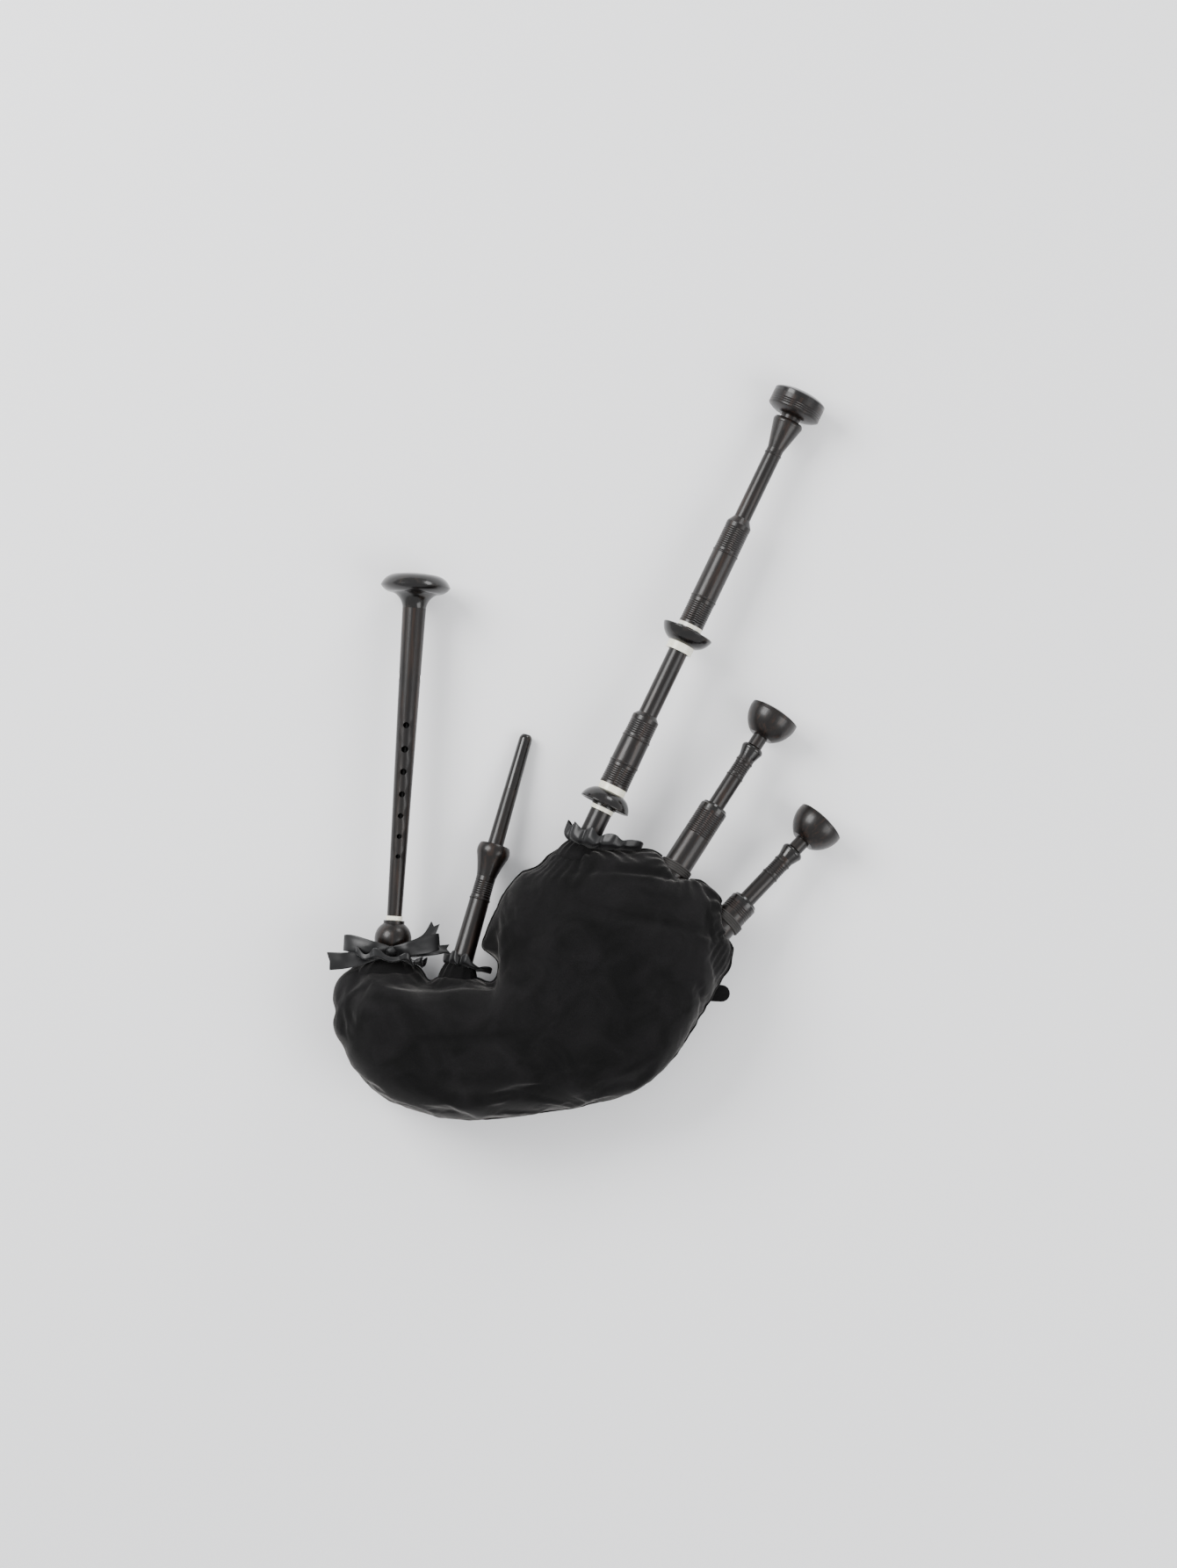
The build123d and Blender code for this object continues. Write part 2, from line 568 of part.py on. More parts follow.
def bass_bottom_joint():
    """Wrapped tenon, spigot for the mount and band, thick body, and the tuning pin on top."""
    wrap, tenon = BASS_BORE_R - HEMP_DEPTH, BASS_BORE_R - HEMP_PROUD
    low, body_end = BASS_TENON_LOW, BASS_BODY_1_END
    shoulder = body_end + BASS_SHOULDER
    groove_low, groove_high = BASS_PIN_END - 32, BASS_PIN_END - 5
    foot, head = (BASS_BODY_1_R, BASS_BODY_1), (BASS_BODY_1_TOP_R, body_end)
    shape = turned(
        (REED_SEAT_R + SLIDE, low), (tenon, low), (tenon, low + 4), (wrap, low + 4), (wrap, BASS_START - 4),
        (tenon, BASS_START - 4), (tenon, BASS_START), (BASS_SPIGOT_R, BASS_START),
        (BASS_SPIGOT_R, BASS_BODY_1), foot, *comb(foot, head, BASS_BODY_1 + 3, 8),
        *bead(foot, head, BASS_BODY_1 + 23), *bead(foot, head, body_end - 24),
        *comb(foot, head, body_end - 19, 7), head,
        (BASS_PIN_R, shoulder), (BASS_PIN_R, groove_low), (BASS_PIN_R - GROOVE_DEPTH, groove_low),
        (BASS_PIN_R - GROOVE_DEPTH, groove_high), (BASS_PIN_R, groove_high), (BASS_PIN_R, BASS_PIN_END),
        (DRONE_BORE_R, BASS_PIN_END), (DRONE_BORE_R, low + REED_SEAT + 3),
        (REED_SEAT_R + SLIDE, low + REED_SEAT + 3),
    )
    return BASS.lay(shape)


def bass_bottom_mount():
    """The lower projecting mount: a domed rim that overhangs a hub, with a hollow under it."""
    low, top = BASS_START + SEAT, BASS_START + BASS_MOUNT_1
    inner, hub = BASS_SPIGOT_R + SEAT, 12.6
    shape = turned(
        (inner, low), (hub, low), (hub, low + 4.2), ((MOUNT_R - 7, low + 4.6), (MOUNT_R - 1.6, low + 2.2)),
        ((MOUNT_R - 0.2, low + 2.4), (MOUNT_R, low + 4)),
        ((MOUNT_R - 3.4, low + 11), (14.8, top)), (inner, top),
    )
    return BASS.lay(shape)


def bass_bottom_band():
    """The pale band between the lower mount and the body."""
    low = BASS_START + BASS_MOUNT_1 + SEAT
    return BASS.lay(tube(BASS_BODY_1_R - 0.6, BASS_SPIGOT_R + SEAT, low, BASS_BODY_1 - SEAT))


def bass_bottom_hemp():
    """Hemp on the tenon in the stock, and on the tuning pin in the middle joint."""
    bed = BASS_BORE_R - HEMP_DEPTH + SEAT
    tenon = tube(BASS_BORE_R - SLIDE, bed, BASS_TENON_LOW + 4.1, BASS_START - 4.1)
    pin = tube(BASS_PIN_R, BASS_PIN_R - GROOVE_DEPTH + SEAT, BASS_PIN_END - 31.9, BASS_PIN_END - 5.1)
    return BASS.lay(Part() + [tenon, pin])


BASS_MIDDLE_SPIGOT_R = 11.4
BASS_BODY_2 = BASS_MIDDLE_START + BASS_BAND_3 + BASS_MOUNT_2 + BASS_BAND_4
BASS_SOCKET_2_R = 6.2


def bass_middle_joint():
    """Socket for the tuning pin, thick body, thin upper part, and a socket for the top joint's tenon."""
    socket, start = BASS_PIN_R + SLIDE, BASS_MIDDLE_START
    socket_end = BASS_PIN_END + BASS_TUNE_IN + 2
    body_end, pin = BASS_BODY_2_END, BASS_PIN_2_R
    top = BASS_CUP_END - BASS_CUP_DEPTH
    socket_2 = top - 30
    foot, head = (BASS_BODY_2_R, BASS_BODY_2), (BASS_BODY_2_R, body_end)
    shape = turned(
        (socket, start), (BASS_MIDDLE_SPIGOT_R, start), (BASS_MIDDLE_SPIGOT_R, BASS_BODY_2),
        foot, *comb(foot, head, BASS_BODY_2 + 3, 10), *bead(foot, head, BASS_BODY_2 + 28),
        *bead(foot, head, body_end - 33), *comb(foot, head, body_end - 28, 11), head,
        (pin, body_end + BASS_SHOULDER_2), *bead((pin, 0), (pin, 1), BASS_CUP_START - 7),
        (pin, BASS_CUP_START), (pin - 0.4, BASS_CUP_START), (pin - 0.4, top), (BASS_SOCKET_2_R, top),
        (BASS_SOCKET_2_R, socket_2), (DRONE_BORE_R + 0.5, socket_2), (DRONE_BORE_R + 0.5, socket_end),
        (socket, socket_end),
    )
    return BASS.lay(shape)


def bass_middle_mount():
    """The upper projecting mount, the lower one's shape turned end for end."""
    low, top = BASS_MIDDLE_START + BASS_BAND_3, BASS_MIDDLE_START + BASS_BAND_3 + BASS_MOUNT_2 - SEAT
    inner, hub = BASS_MIDDLE_SPIGOT_R + SEAT, 13.0
    shape = turned(
        (inner, top), (hub, top), (hub, top - 4.4), ((MOUNT_R - 7, top - 4.8), (MOUNT_R - 1.2, top - 2.4)),
        ((MOUNT_R + 0.3, top - 2.6), (MOUNT_R + 0.4, top - 4.2)),
        ((MOUNT_R - 3.4, low + 5.8), (14.2, low)), (inner, low),
    )
    return BASS.lay(shape)


def bass_middle_bands():
    """The pale bands below and above the upper mount."""
    inner, start = BASS_MIDDLE_SPIGOT_R + SEAT, BASS_MIDDLE_START
    lower = tube(13.6, inner, start, start + BASS_BAND_3 - SEAT)
    upper = tube(BASS_BODY_2_R - 0.3, inner, BASS_BODY_2 - BASS_BAND_4, BASS_BODY_2 - SEAT)
    return BASS.lay(Part() + [lower, upper])


def bass_middle_cup():
    """The flared cup at the joint's top, open above for the top joint's neck."""
    low, high = BASS_CUP_START + SEAT, BASS_CUP_END
    inner, mouth = BASS_PIN_2_R - 0.4 + SEAT, BASS_NECK_R + SLIDE
    floor = high - BASS_CUP_DEPTH + SEAT
    shape = turned(
        (inner, low), (BASS_PIN_2_R, low), ((BASS_PIN_2_R + 3.6, low + 14), (BASS_CUP_R - 0.3, high - 5)),
        ((BASS_CUP_R, high - 2.2), (BASS_CUP_R - 1.2, high)), (BASS_CUP_R - 3, high - 0.6),
        (mouth, high - 1.6), (mouth, floor), (inner, floor),
    )
    return BASS.lay(shape)


BASS_NECK_LOW = BASS_CUP_END - BASS_CUP_DEPTH + BASS_TOP_IN + 0.6
BASS_TENON_2_LOW = BASS_NECK_LOW - 24


def bass_top_joint():
    """Tenon, neck, and the drum-shaped head, hollow inside and open at its end for the ring cap."""
    wrap, tenon = BASS_SOCKET_2_R - HEMP_DEPTH, BASS_SOCKET_2_R - HEMP_PROUD
    low, start, radius = BASS_TENON_2_LOW, BASS_DRUM_START, BASS_DRUM_R
    rim = BASS_DRUM_END - BASS_CAP
    shape = turned(
        (DRONE_BORE_R, low), (tenon, low), (tenon, low + 3), (wrap, low + 3), (wrap, BASS_NECK_LOW - 3),
        (tenon, BASS_NECK_LOW - 3), (tenon, BASS_NECK_LOW), (BASS_NECK_R, BASS_NECK_LOW),
        (BASS_NECK_R, start - 0.8), ((radius - 7, start + 0.8), (radius - 0.7, start + 4)),
        (radius, start + 5),
        *comb((radius, start), (radius, rim), start + 6.5, 3), (radius, rim), (radius - BASS_DRUM_WALL, rim),
        (radius - BASS_DRUM_WALL, start + 7), (DRONE_BORE_R, start + 5),
    )
    return BASS.lay(shape)


def bass_top_hemp():
    low, high = BASS_TENON_2_LOW + 3 + SEAT, BASS_NECK_LOW - 3 - SEAT
    return BASS.lay(tube(BASS_SOCKET_2_R - SLIDE, BASS_SOCKET_2_R - HEMP_DEPTH + SEAT, low, high))


def bass_ring_cap():
    """The cap of the drum: a spigot inside it, a softly domed face, and the drone's mouth."""
    rim, high, radius = BASS_DRUM_END - BASS_CAP + SEAT, BASS_DRUM_END, BASS_DRUM_R
    spigot = radius - BASS_DRUM_WALL - SEAT
    shape = turned(
        (MOUTH_R, rim - 4), (spigot, rim - 4), (spigot, rim), (radius, rim), (radius, high - 5.2),
        (radius - 0.8, high - 4.2), ((radius / 2 + 6, high - 1.2), (MOUTH_R + 2, high)), (MOUTH_R, high),
    )
    return BASS.lay(shape)


# ---- Tenor drones ----
class Tenor:
    """One tenor drone. The two differ only in where they are tied in and how much of the stock shows."""

    def __init__(self, pipe, stock_top, grooves):
        self.pipe, self.top, self.grooves = pipe, stock_top, grooves
        self.tenon_low = stock_top - TENOR_TENON
        self.ring_low = stock_top + TENOR_JOINT
        self.ring_high = self.ring_low + TENOR_RING
        self.spigot_top = self.ring_low + TENOR_SPIGOT
        self.neck_low = self.spigot_top + TENOR_TOP_IN + 0.5
        self.bell_low = self.ring_high + TENOR_NECK
        self.bell_high = self.bell_low + TENOR_BELL

    def stock(self):
        inside, top = -TENOR_STOCK_INSIDE, self.top - TENOR_FERRULE
        flange, spigot = TENOR_STOCK_R + STOCK_FLANGE, TENOR_STOCK_R - FERRULE_WALL
        foot, head = (TENOR_STOCK_R, 0), (TENOR_STOCK_R, top)
        return self.pipe.lay(turned(
            (TENOR_BORE_R, inside), (TENOR_STOCK_R, inside), (flange, inside + 1),
            (flange, inside + STOCK_FLANGE_LENGTH), (TENOR_STOCK_R, inside + STOCK_FLANGE_LENGTH + 1),
            *comb(foot, head, top - 2 - self.grooves * COMB_PITCH, self.grooves), head, (spigot, top),
            (spigot, self.top - 0.6), (TENOR_BORE_R, self.top - 0.6),
        ))

    def stock_ferrule(self):
        """A horn ring on the stock's top, with a small step to the bore."""
        low, high, inner = self.top - TENOR_FERRULE + SEAT, self.top, TENOR_STOCK_R - FERRULE_WALL + SEAT
        return self.pipe.lay(turned(
            (inner, low), (TENOR_STOCK_R, low), (TENOR_STOCK_R, high - 3), (TENOR_STOCK_R - 0.8, high - 2.2),
            (TENOR_STOCK_R - 1.8, high), (inner, high),
        ))

    def joint(self):
        """A slim joint with its wrapped tenon in the stock and a socket for the bell's tenon on top."""
        low, body = self.tenon_low, TENOR_JOINT_R
        wrap, spigot = body - GROOVE_DEPTH, TENOR_NECK_R
        socket, socket_low = BELL_SOCKET_R, self.ring_low - 26
        foot, head = (body, 0), (body, self.ring_low)
        return self.pipe.lay(turned(
            (REED_SEAT_R + SLIDE, low), (body, low), (body, low + 4), (wrap, low + 4), (wrap, self.top - 5),
            (body, self.top - 5), *bead(foot, head, self.ring_low - 24),
            *comb(foot, head, self.ring_low - 19, 5),
            *bead(foot, head, self.ring_low - 6), head, (spigot, self.ring_low), (spigot, self.spigot_top),
            (socket, self.spigot_top), (socket, socket_low), (DRONE_BORE_R, socket_low),
            (DRONE_BORE_R, low + REED_SEAT + 3), (REED_SEAT_R + SLIDE, low + REED_SEAT + 3),
        ))

    def joint_hemp(self):
        wrap = TENOR_JOINT_R - GROOVE_DEPTH
        return self.pipe.lay(tube(TENOR_JOINT_R + 0.1, wrap + SEAT, self.tenon_low + 4.1, self.top - 5.1))

    def joint_ring(self):
        """The flared ring at the joint's top, which guides the bell's neck."""
        low, high, inner = self.ring_low + SEAT, self.ring_high, TENOR_NECK_R + SLIDE
        return self.pipe.lay(turned(
            (inner, low), (TENOR_JOINT_R, low),
            ((TENOR_RING_R - 1.9, low + 3.2), (TENOR_RING_R - 0.5, low + 8)),
            ((TENOR_RING_R, high - 3), (TENOR_RING_R - 0.9, high - 1)), (TENOR_RING_R - 2, high),
            (inner, high),
        ))

    def bell(self):
        """Tenon, neck and the cup-shaped head, hollow inside."""
        low, start, high, radius = self.neck_low - 22, self.bell_low, self.bell_high, TENOR_BELL_R
        tenon, wrap, rim = BELL_TENON_R, BELL_WRAP_R, self.bell_high - BUSH
        return self.pipe.lay(turned(
            (3.4, low), (tenon, low), (tenon, low + 3), (wrap, low + 3), (wrap, self.neck_low - 3),
            (tenon, self.neck_low - 3), (tenon, self.neck_low), (TENOR_NECK_R, self.neck_low),
            (TENOR_NECK_R, start), (TENOR_NECK_R + 5, start + 0.6),
            ((radius - 4.6, start + 9.5), (radius, high - 5)), (radius - 0.2, high - 1.2),
            (radius - 4, high), (radius - BELL_LIP, high), (radius - BELL_LIP, rim), (radius - 8, rim),
            ((radius - 11, start + 12), (DRONE_BORE_R + 2, start + 7)), (3.4, start + 6),
        ))

    def bell_hemp(self):
        return self.pipe.lay(tube(
            BELL_SOCKET_R - SLIDE, BELL_WRAP_R + SEAT, self.neck_low - 18.9, self.neck_low - 3.1,
        ))

    def bell_bush(self):
        """The bush that closes the bell round the drone's mouth."""
        low, high = self.bell_high - BUSH + SEAT, self.bell_high
        outer = TENOR_BELL_R - BELL_LIP - SEAT
        return self.pipe.lay(turned(
            (MOUTH_R, low - 5), (MOUTH_R + 3, low - 5), (MOUTH_R + 3, low), (outer, low), (outer, high),
            ((outer / 2 + 5, high + 1.7), (MOUTH_R + 1.5, high + 2.4)), (MOUTH_R, high + 2.4),
        ))

    def nodes(self, name):
        """This drone's pieces by node name."""
        return {
            f"{name}_stock": self.stock(),
            f"{name}_stock_ferrule": self.stock_ferrule(),
            f"{name}_stock_tie": self.pipe.lay(stock_tie(TENOR_STOCK_R)),
            f"{name}_joint": self.joint(),
            f"{name}_joint_hemp": self.joint_hemp(),
            f"{name}_joint_ring": self.joint_ring(),
            f"{name}_reed_body": self.pipe.lay(reed_body(self.tenon_low, TENOR_REED)),
            f"{name}_reed_tongue": self.pipe.lay(reed_tongue(self.tenon_low, TENOR_REED)),
            f"{name}_bell": self.bell(),
            f"{name}_bell_hemp": self.bell_hemp(),
            f"{name}_bell_bush": self.bell_bush(),
        }


TENORS = {
    "tenor_1": Tenor(TENOR_1, TENOR_1_STOCK_TOP, 12),
    "tenor_2": Tenor(TENOR_2, TENOR_2_STOCK_TOP, 4),
}


def all_nodes():
    """Every piece by node name."""
    nodes = {
        "bag_cover": bag_cover(),
        "bag_hide": bag_hide(),
        "chanter_stock": chanter_stock(),
        "chanter_stock_ball": chanter_stock_ball(),
        "chanter_stock_tie": CHANTER.lay(stock_tie(CHANTER_STOCK_R)),
        "chanter_frill": frill(CHANTER, CHANTER_STOCK_R, *CHANTER_FRILL),
        "chanter_body": chanter_body(),
        "chanter_ring": chanter_ring(),
        "chanter_sole": chanter_sole(),
        "chanter_hemp": chanter_hemp(),
        "chanter_reed_staple": chanter_reed_staple(),
        "chanter_reed_blades": chanter_reed_blades(),
        "blowpipe_stock": blowpipe_stock(),
        "blowpipe_stock_cup": blowpipe_stock_cup(),
        "blowpipe_stock_tie": BLOWPIPE.lay(stock_tie(BLOW_STOCK_FOOT_R)),
        "blowpipe_frill": frill(BLOWPIPE, BLOW_STOCK_FOOT_R, *BLOWPIPE_FRILL),
        "blowpipe_tube": blowpipe_tube(),
        "blowpipe_hemp": blowpipe_hemp(),
        "mouthpiece": mouthpiece(),
        "valve_flap": valve_flap(),
        "bass_stock": bass_stock(),
        "bass_stock_band": bass_stock_band(),
        "bass_stock_tie": BASS.lay(stock_tie(BASS_STOCK_R)),
        "bass_frill": frill(BASS, BASS_STOCK_R, *BASS_FRILL),
        "bass_bottom_joint": bass_bottom_joint(),
        "bass_bottom_mount": bass_bottom_mount(),
        "bass_bottom_band": bass_bottom_band(),
        "bass_bottom_hemp": bass_bottom_hemp(),
        "bass_reed_body": BASS.lay(reed_body(BASS_TENON_LOW, BASS_REED)),
        "bass_reed_tongue": BASS.lay(reed_tongue(BASS_TENON_LOW, BASS_REED)),
        "bass_middle_joint": bass_middle_joint(),
        "bass_middle_mount": bass_middle_mount(),
        "bass_middle_bands": bass_middle_bands(),
        "bass_middle_cup": bass_middle_cup(),
        "bass_top_joint": bass_top_joint(),
        "bass_top_hemp": bass_top_hemp(),
        "bass_ring_cap": bass_ring_cap(),
    }
    for name, tenor in TENORS.items():
        nodes.update(tenor.nodes(name))
    return nodes


def main():
    os.makedirs("parts", exist_ok=True)
    for name, shape in all_nodes().items():
        shape.label = name
        export_step(shape, f"parts/{name}.step")


if __name__ == "__main__":
    main()
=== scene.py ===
# %% [markdown]
# # Bagpipes on a table
# A set of bagpipes is a leather bag in a velvet cover, with five pipes tied into it. The turned pipes come
# from the CAD frame with their true shapes, so here they only get their woods, horn and ivory. The soft
# things are made here: the filled cover, its seam, the gathered frills and the ribbons.

# %% Load the fixed frame
import json
import math
import bpy
from mathutils import Matrix, Vector, noise
from mathutils.bvhtree import BVHTree

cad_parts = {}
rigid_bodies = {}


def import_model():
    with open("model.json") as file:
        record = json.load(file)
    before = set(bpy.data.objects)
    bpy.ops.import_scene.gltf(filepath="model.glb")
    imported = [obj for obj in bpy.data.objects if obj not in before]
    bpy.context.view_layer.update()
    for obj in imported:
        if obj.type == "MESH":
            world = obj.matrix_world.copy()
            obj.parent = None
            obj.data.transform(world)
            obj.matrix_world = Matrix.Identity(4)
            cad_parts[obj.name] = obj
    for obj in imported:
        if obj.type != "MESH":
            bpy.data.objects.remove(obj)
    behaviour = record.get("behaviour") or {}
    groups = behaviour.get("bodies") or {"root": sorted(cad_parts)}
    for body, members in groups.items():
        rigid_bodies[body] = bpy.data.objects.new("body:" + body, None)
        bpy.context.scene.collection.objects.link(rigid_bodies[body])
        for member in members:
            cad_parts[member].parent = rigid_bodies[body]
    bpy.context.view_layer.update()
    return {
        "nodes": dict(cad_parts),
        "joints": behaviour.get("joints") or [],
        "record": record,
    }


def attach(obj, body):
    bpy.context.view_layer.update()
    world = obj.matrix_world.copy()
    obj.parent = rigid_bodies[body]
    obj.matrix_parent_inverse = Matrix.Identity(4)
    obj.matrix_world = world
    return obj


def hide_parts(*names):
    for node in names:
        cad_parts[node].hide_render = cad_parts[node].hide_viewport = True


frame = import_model()
nodes, joints = frame["nodes"], {joint["name"]: joint for joint in frame["joints"]}
print("CAD nodes:", len(nodes), "joints:", len(joints))

# %% [markdown]
# ## Small helpers
# A maker works in millimetres and Blender in metres, so MM turns one into the other. Operators act on all
# that is selected, and the frame arrives selected, so everything is deselected before each piece.

# %% Helpers for pieces
MM = 0.001
DROOP = 0.8 * MM  # cloth never comes closer to the table than this
SMOOTH_ANGLE = 50  # degrees; a sharper edge than this stays crisp


def deselect():
    """Leave object mode and select nothing."""
    if bpy.context.mode != "OBJECT":
        bpy.ops.object.mode_set(mode="OBJECT")
    bpy.ops.object.select_all(action="DESELECT")


def only(piece):
    """Make one piece active and the only one selected."""
    deselect()
    piece.select_set(True)
    bpy.context.view_layer.objects.active = piece


def choose(piece, test):
    """In edit mode, select just the points that pass a test."""
    only(piece)
    bpy.ops.object.mode_set(mode="EDIT")
    bpy.ops.mesh.select_mode(type="VERT")
    bpy.ops.mesh.select_all(action="DESELECT")
    bpy.ops.object.mode_set(mode="OBJECT")
    for vertex in piece.data.vertices:
        vertex.select = test(vertex.co)
    bpy.ops.object.mode_set(mode="EDIT")


def apply_modifiers(piece):
    """Turn a piece's modifiers into plain mesh, in their order."""
    only(piece)
    for modifier in list(piece.modifiers):
        bpy.ops.object.modifier_apply(modifier=modifier.name)


def settle(piece, body, material):
    """A finished piece: placed at the origin, smooth, riding on its body, with its material."""
    only(piece)
    bpy.ops.object.transform_apply(location=True, rotation=True, scale=True)
    bpy.ops.object.shade_smooth_by_angle(angle=math.radians(SMOOTH_ANGLE))
    piece.data.materials.clear()
    piece.data.materials.append(material)
    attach(piece, body)
    print(piece.name, "rides on", body, "with", len(piece.data.polygons), "faces")


deselect()

# %% [markdown]
# ## Where the pipes are
# Each pipe's joints say where it is tied into the bag and which way it points. That gives a frame with its
# own Z along the pipe and Y upwards, so anything round a stock is modelled upright at the origin and then
# moved there by one matrix.

# %% Pipe frames from the joints
PIPES = {
    "chanter": ("chanter_lean", "chanter_pull"),
    "blowpipe": ("blowpipe_lean", "blowpipe_pull"),
    "bass": ("bass_lean", "bass_pull"),
    "tenor_1": ("tenor_1_lean", "tenor_1_pull"),
    "tenor_2": ("tenor_2_lean", "tenor_2_pull"),
}
STOCK_RADIUS = {"chanter": 12, "blowpipe": 11, "bass": 11, "tenor_1": 14.5, "tenor_2": 14.5}  # millimetres


def pipe_frame(lean, pull):
    """The matrix that takes a piece modelled along Z to the pipe that leans and slides by those joints."""
    along = Vector(joints[pull]["axis"]).normalized()
    across = Vector((0, 0, 1)).cross(along).normalized()
    up = along.cross(across)
    turn = Matrix((across, up, along)).transposed().to_4x4()
    return Matrix.Translation(Vector(joints[lean]["pos_m"])) @ turn


FRAMES = {pipe: pipe_frame(*names) for pipe, names in PIPES.items()}
TO_PIPE = {pipe: matrix.inverted() for pipe, matrix in FRAMES.items()}
for pipe, matrix in FRAMES.items():
    print(pipe, "is tied in at", [round(c, 3) for c in matrix.translation])

# %% [markdown]
# ## The camera
# The instrument lies on a table and is looked at from straight above. A long lens far away hardly bends its
# outline by perspective, so the pipes keep their true proportions. The camera's height follows from how
# much of the table it should cover.

# %% Camera
LENS, SENSOR = 85.0, 36.0
VIEW_HEIGHT = 1.562  # metres that the view covers from bottom to top, at the height of the bag's seam
SEAM_Z = 0.050
VIEW_CENTRE = (0.0262, 0.1991)
FAR_CLIP = 20
camera_data = bpy.data.cameras.new("camera")
camera_data.lens, camera_data.sensor_width, camera_data.clip_end = LENS, SENSOR, FAR_CLIP
camera = bpy.data.objects.new("camera", camera_data)
camera.location = (*VIEW_CENTRE, SEAM_Z + VIEW_HEIGHT * LENS / SENSOR)
bpy.context.scene.collection.objects.link(camera)
bpy.context.scene.camera = camera
print("camera height", round(camera.location.z, 3))

# %% [markdown]
# ## Small helpers for materials
# A finish here is a few texture nodes that feed one Principled shader. Adding each node by hand takes four
# or five lines, so one function adds a node, sets it and links it. Colours are written as sRGB hex codes, as
# in any paint program, and one function turns them into the linear values that shaders work in.

# %% Colours and nodes
def linear(code, alpha=1.0):
    """An sRGB hex colour as the linear values that shaders work in."""
    values = [int(code[i:i + 2], 16) / 255 for i in (1, 3, 5)]
    return (*(v / 12.92 if v <= 0.04045 else ((v + 0.055) / 1.055) ** 2.4 for v in values), alpha)


def add(tree, kind, settings=None, **inputs):
    """Add a node. Settings are its properties; inputs are values, or sockets to link from."""
    node = tree.nodes.new(kind)
    for name, value in (settings or {}).items():
        setattr(node, name, value)
    for name, value in inputs.items():
        key = int(name[1:]) if name[0] == "_" else name.replace("_", " ")
        if isinstance(value, bpy.types.NodeSocket):
            tree.links.new(value, node.inputs[key])
        else:
            node.inputs[key].default_value = value
    return node


def new_material(name, **fixed):
    """A material with one Principled shader, whose constants are set on its own sockets."""
    material = bpy.data.materials.new(name)
    material.use_nodes = True
    tree = material.node_tree
    shader = tree.nodes["Principled BSDF"]
    for key, value in fixed.items():
        shader.inputs[key.replace("_", " ")].default_value = value
    return material, tree, shader


def ramp(tree, source, *stops):
    """A colour ramp from a grey value, with (place, colour) stops."""
    node = add(tree, "ShaderNodeValToRGB", Fac=source)
    elements = node.color_ramp.elements
    while len(elements) < len(stops):
        elements.new(0.5)
    for element, (place, colour) in zip(elements, stops):
        element.position, element.color = place, colour
    return node.outputs["Color"]


def bump(tree, height, strength, distance):
    """A bent normal from a grey height, with the relief's depth in metres."""
    node = add(tree, "ShaderNodeBump", Height=height, Strength=strength, Distance=distance)
    return node.outputs["Normal"]


def pipe_space(tree, pipe):
    """Object coordinates turned so that Z runs along that pipe."""
    place = add(tree, "ShaderNodeTexCoord").outputs["Object"]
    spin, shift = TO_PIPE[pipe].to_euler(), TO_PIPE[pipe].translation
    mapping = add(tree, "ShaderNodeMapping", {"vector_type": "POINT"}, Vector=place)
    mapping.inputs["Rotation"].default_value = spin
    mapping.inputs["Location"].default_value = shift
    return mapping.outputs["Vector"]


# %% [markdown]
# ## The table and the light
# Black wood and black velvet only show their form by what they reflect. Small lamps would give hard
# glints, so two large soft lights, a low one from the side and a bright surround are used instead. The
# table is plain and pale, so that the outline stands out.

# %% Table and light
# painted board: an even, matt, nearly white ground that takes soft shadows
TABLE_SIZE = 12
floor_material, _, floor_shader = new_material("painted table", Roughness=0.75)
floor_shader.inputs["Base Color"].default_value = linear("#f4f4f5")
deselect()
bpy.ops.mesh.primitive_plane_add(size=TABLE_SIZE, location=(*VIEW_CENTRE, 0))
floor = bpy.context.object
floor.name = "table"
floor.data.materials.append(floor_material)


def soft_light(name, place, size, power):
    """A square lamp, so many metres wide and watts strong, that looks at the middle of the bagpipes."""
    lamp = bpy.data.lights.new(name, "AREA")
    lamp.size, lamp.energy = size, power
    holder = bpy.data.objects.new(name, lamp)
    holder.location = place
    aim = Vector((*VIEW_CENTRE, 0)) - Vector(place)
    holder.rotation_euler = aim.to_track_quat("-Z", "Y").to_euler()
    bpy.context.scene.collection.objects.link(holder)


soft_light("window light", (-1.9, 1.6, 2.1), 1.6, 120)
soft_light("fill light", (2.2, -0.9, 2.4), 2.0, 64)
soft_light("low side light", (1.4, 2.4, 0.9), 0.8, 20)
SURROUND = 1.15
world = bpy.data.worlds.new("pale room")
bpy.context.scene.world = world
world.use_nodes = True
world.node_tree.nodes["Background"].inputs["Color"].default_value = linear("#f4f5f7")
world.node_tree.nodes["Background"].inputs["Strength"].default_value = SURROUND
print("lit by", len(bpy.data.lights), "lamps and the room")
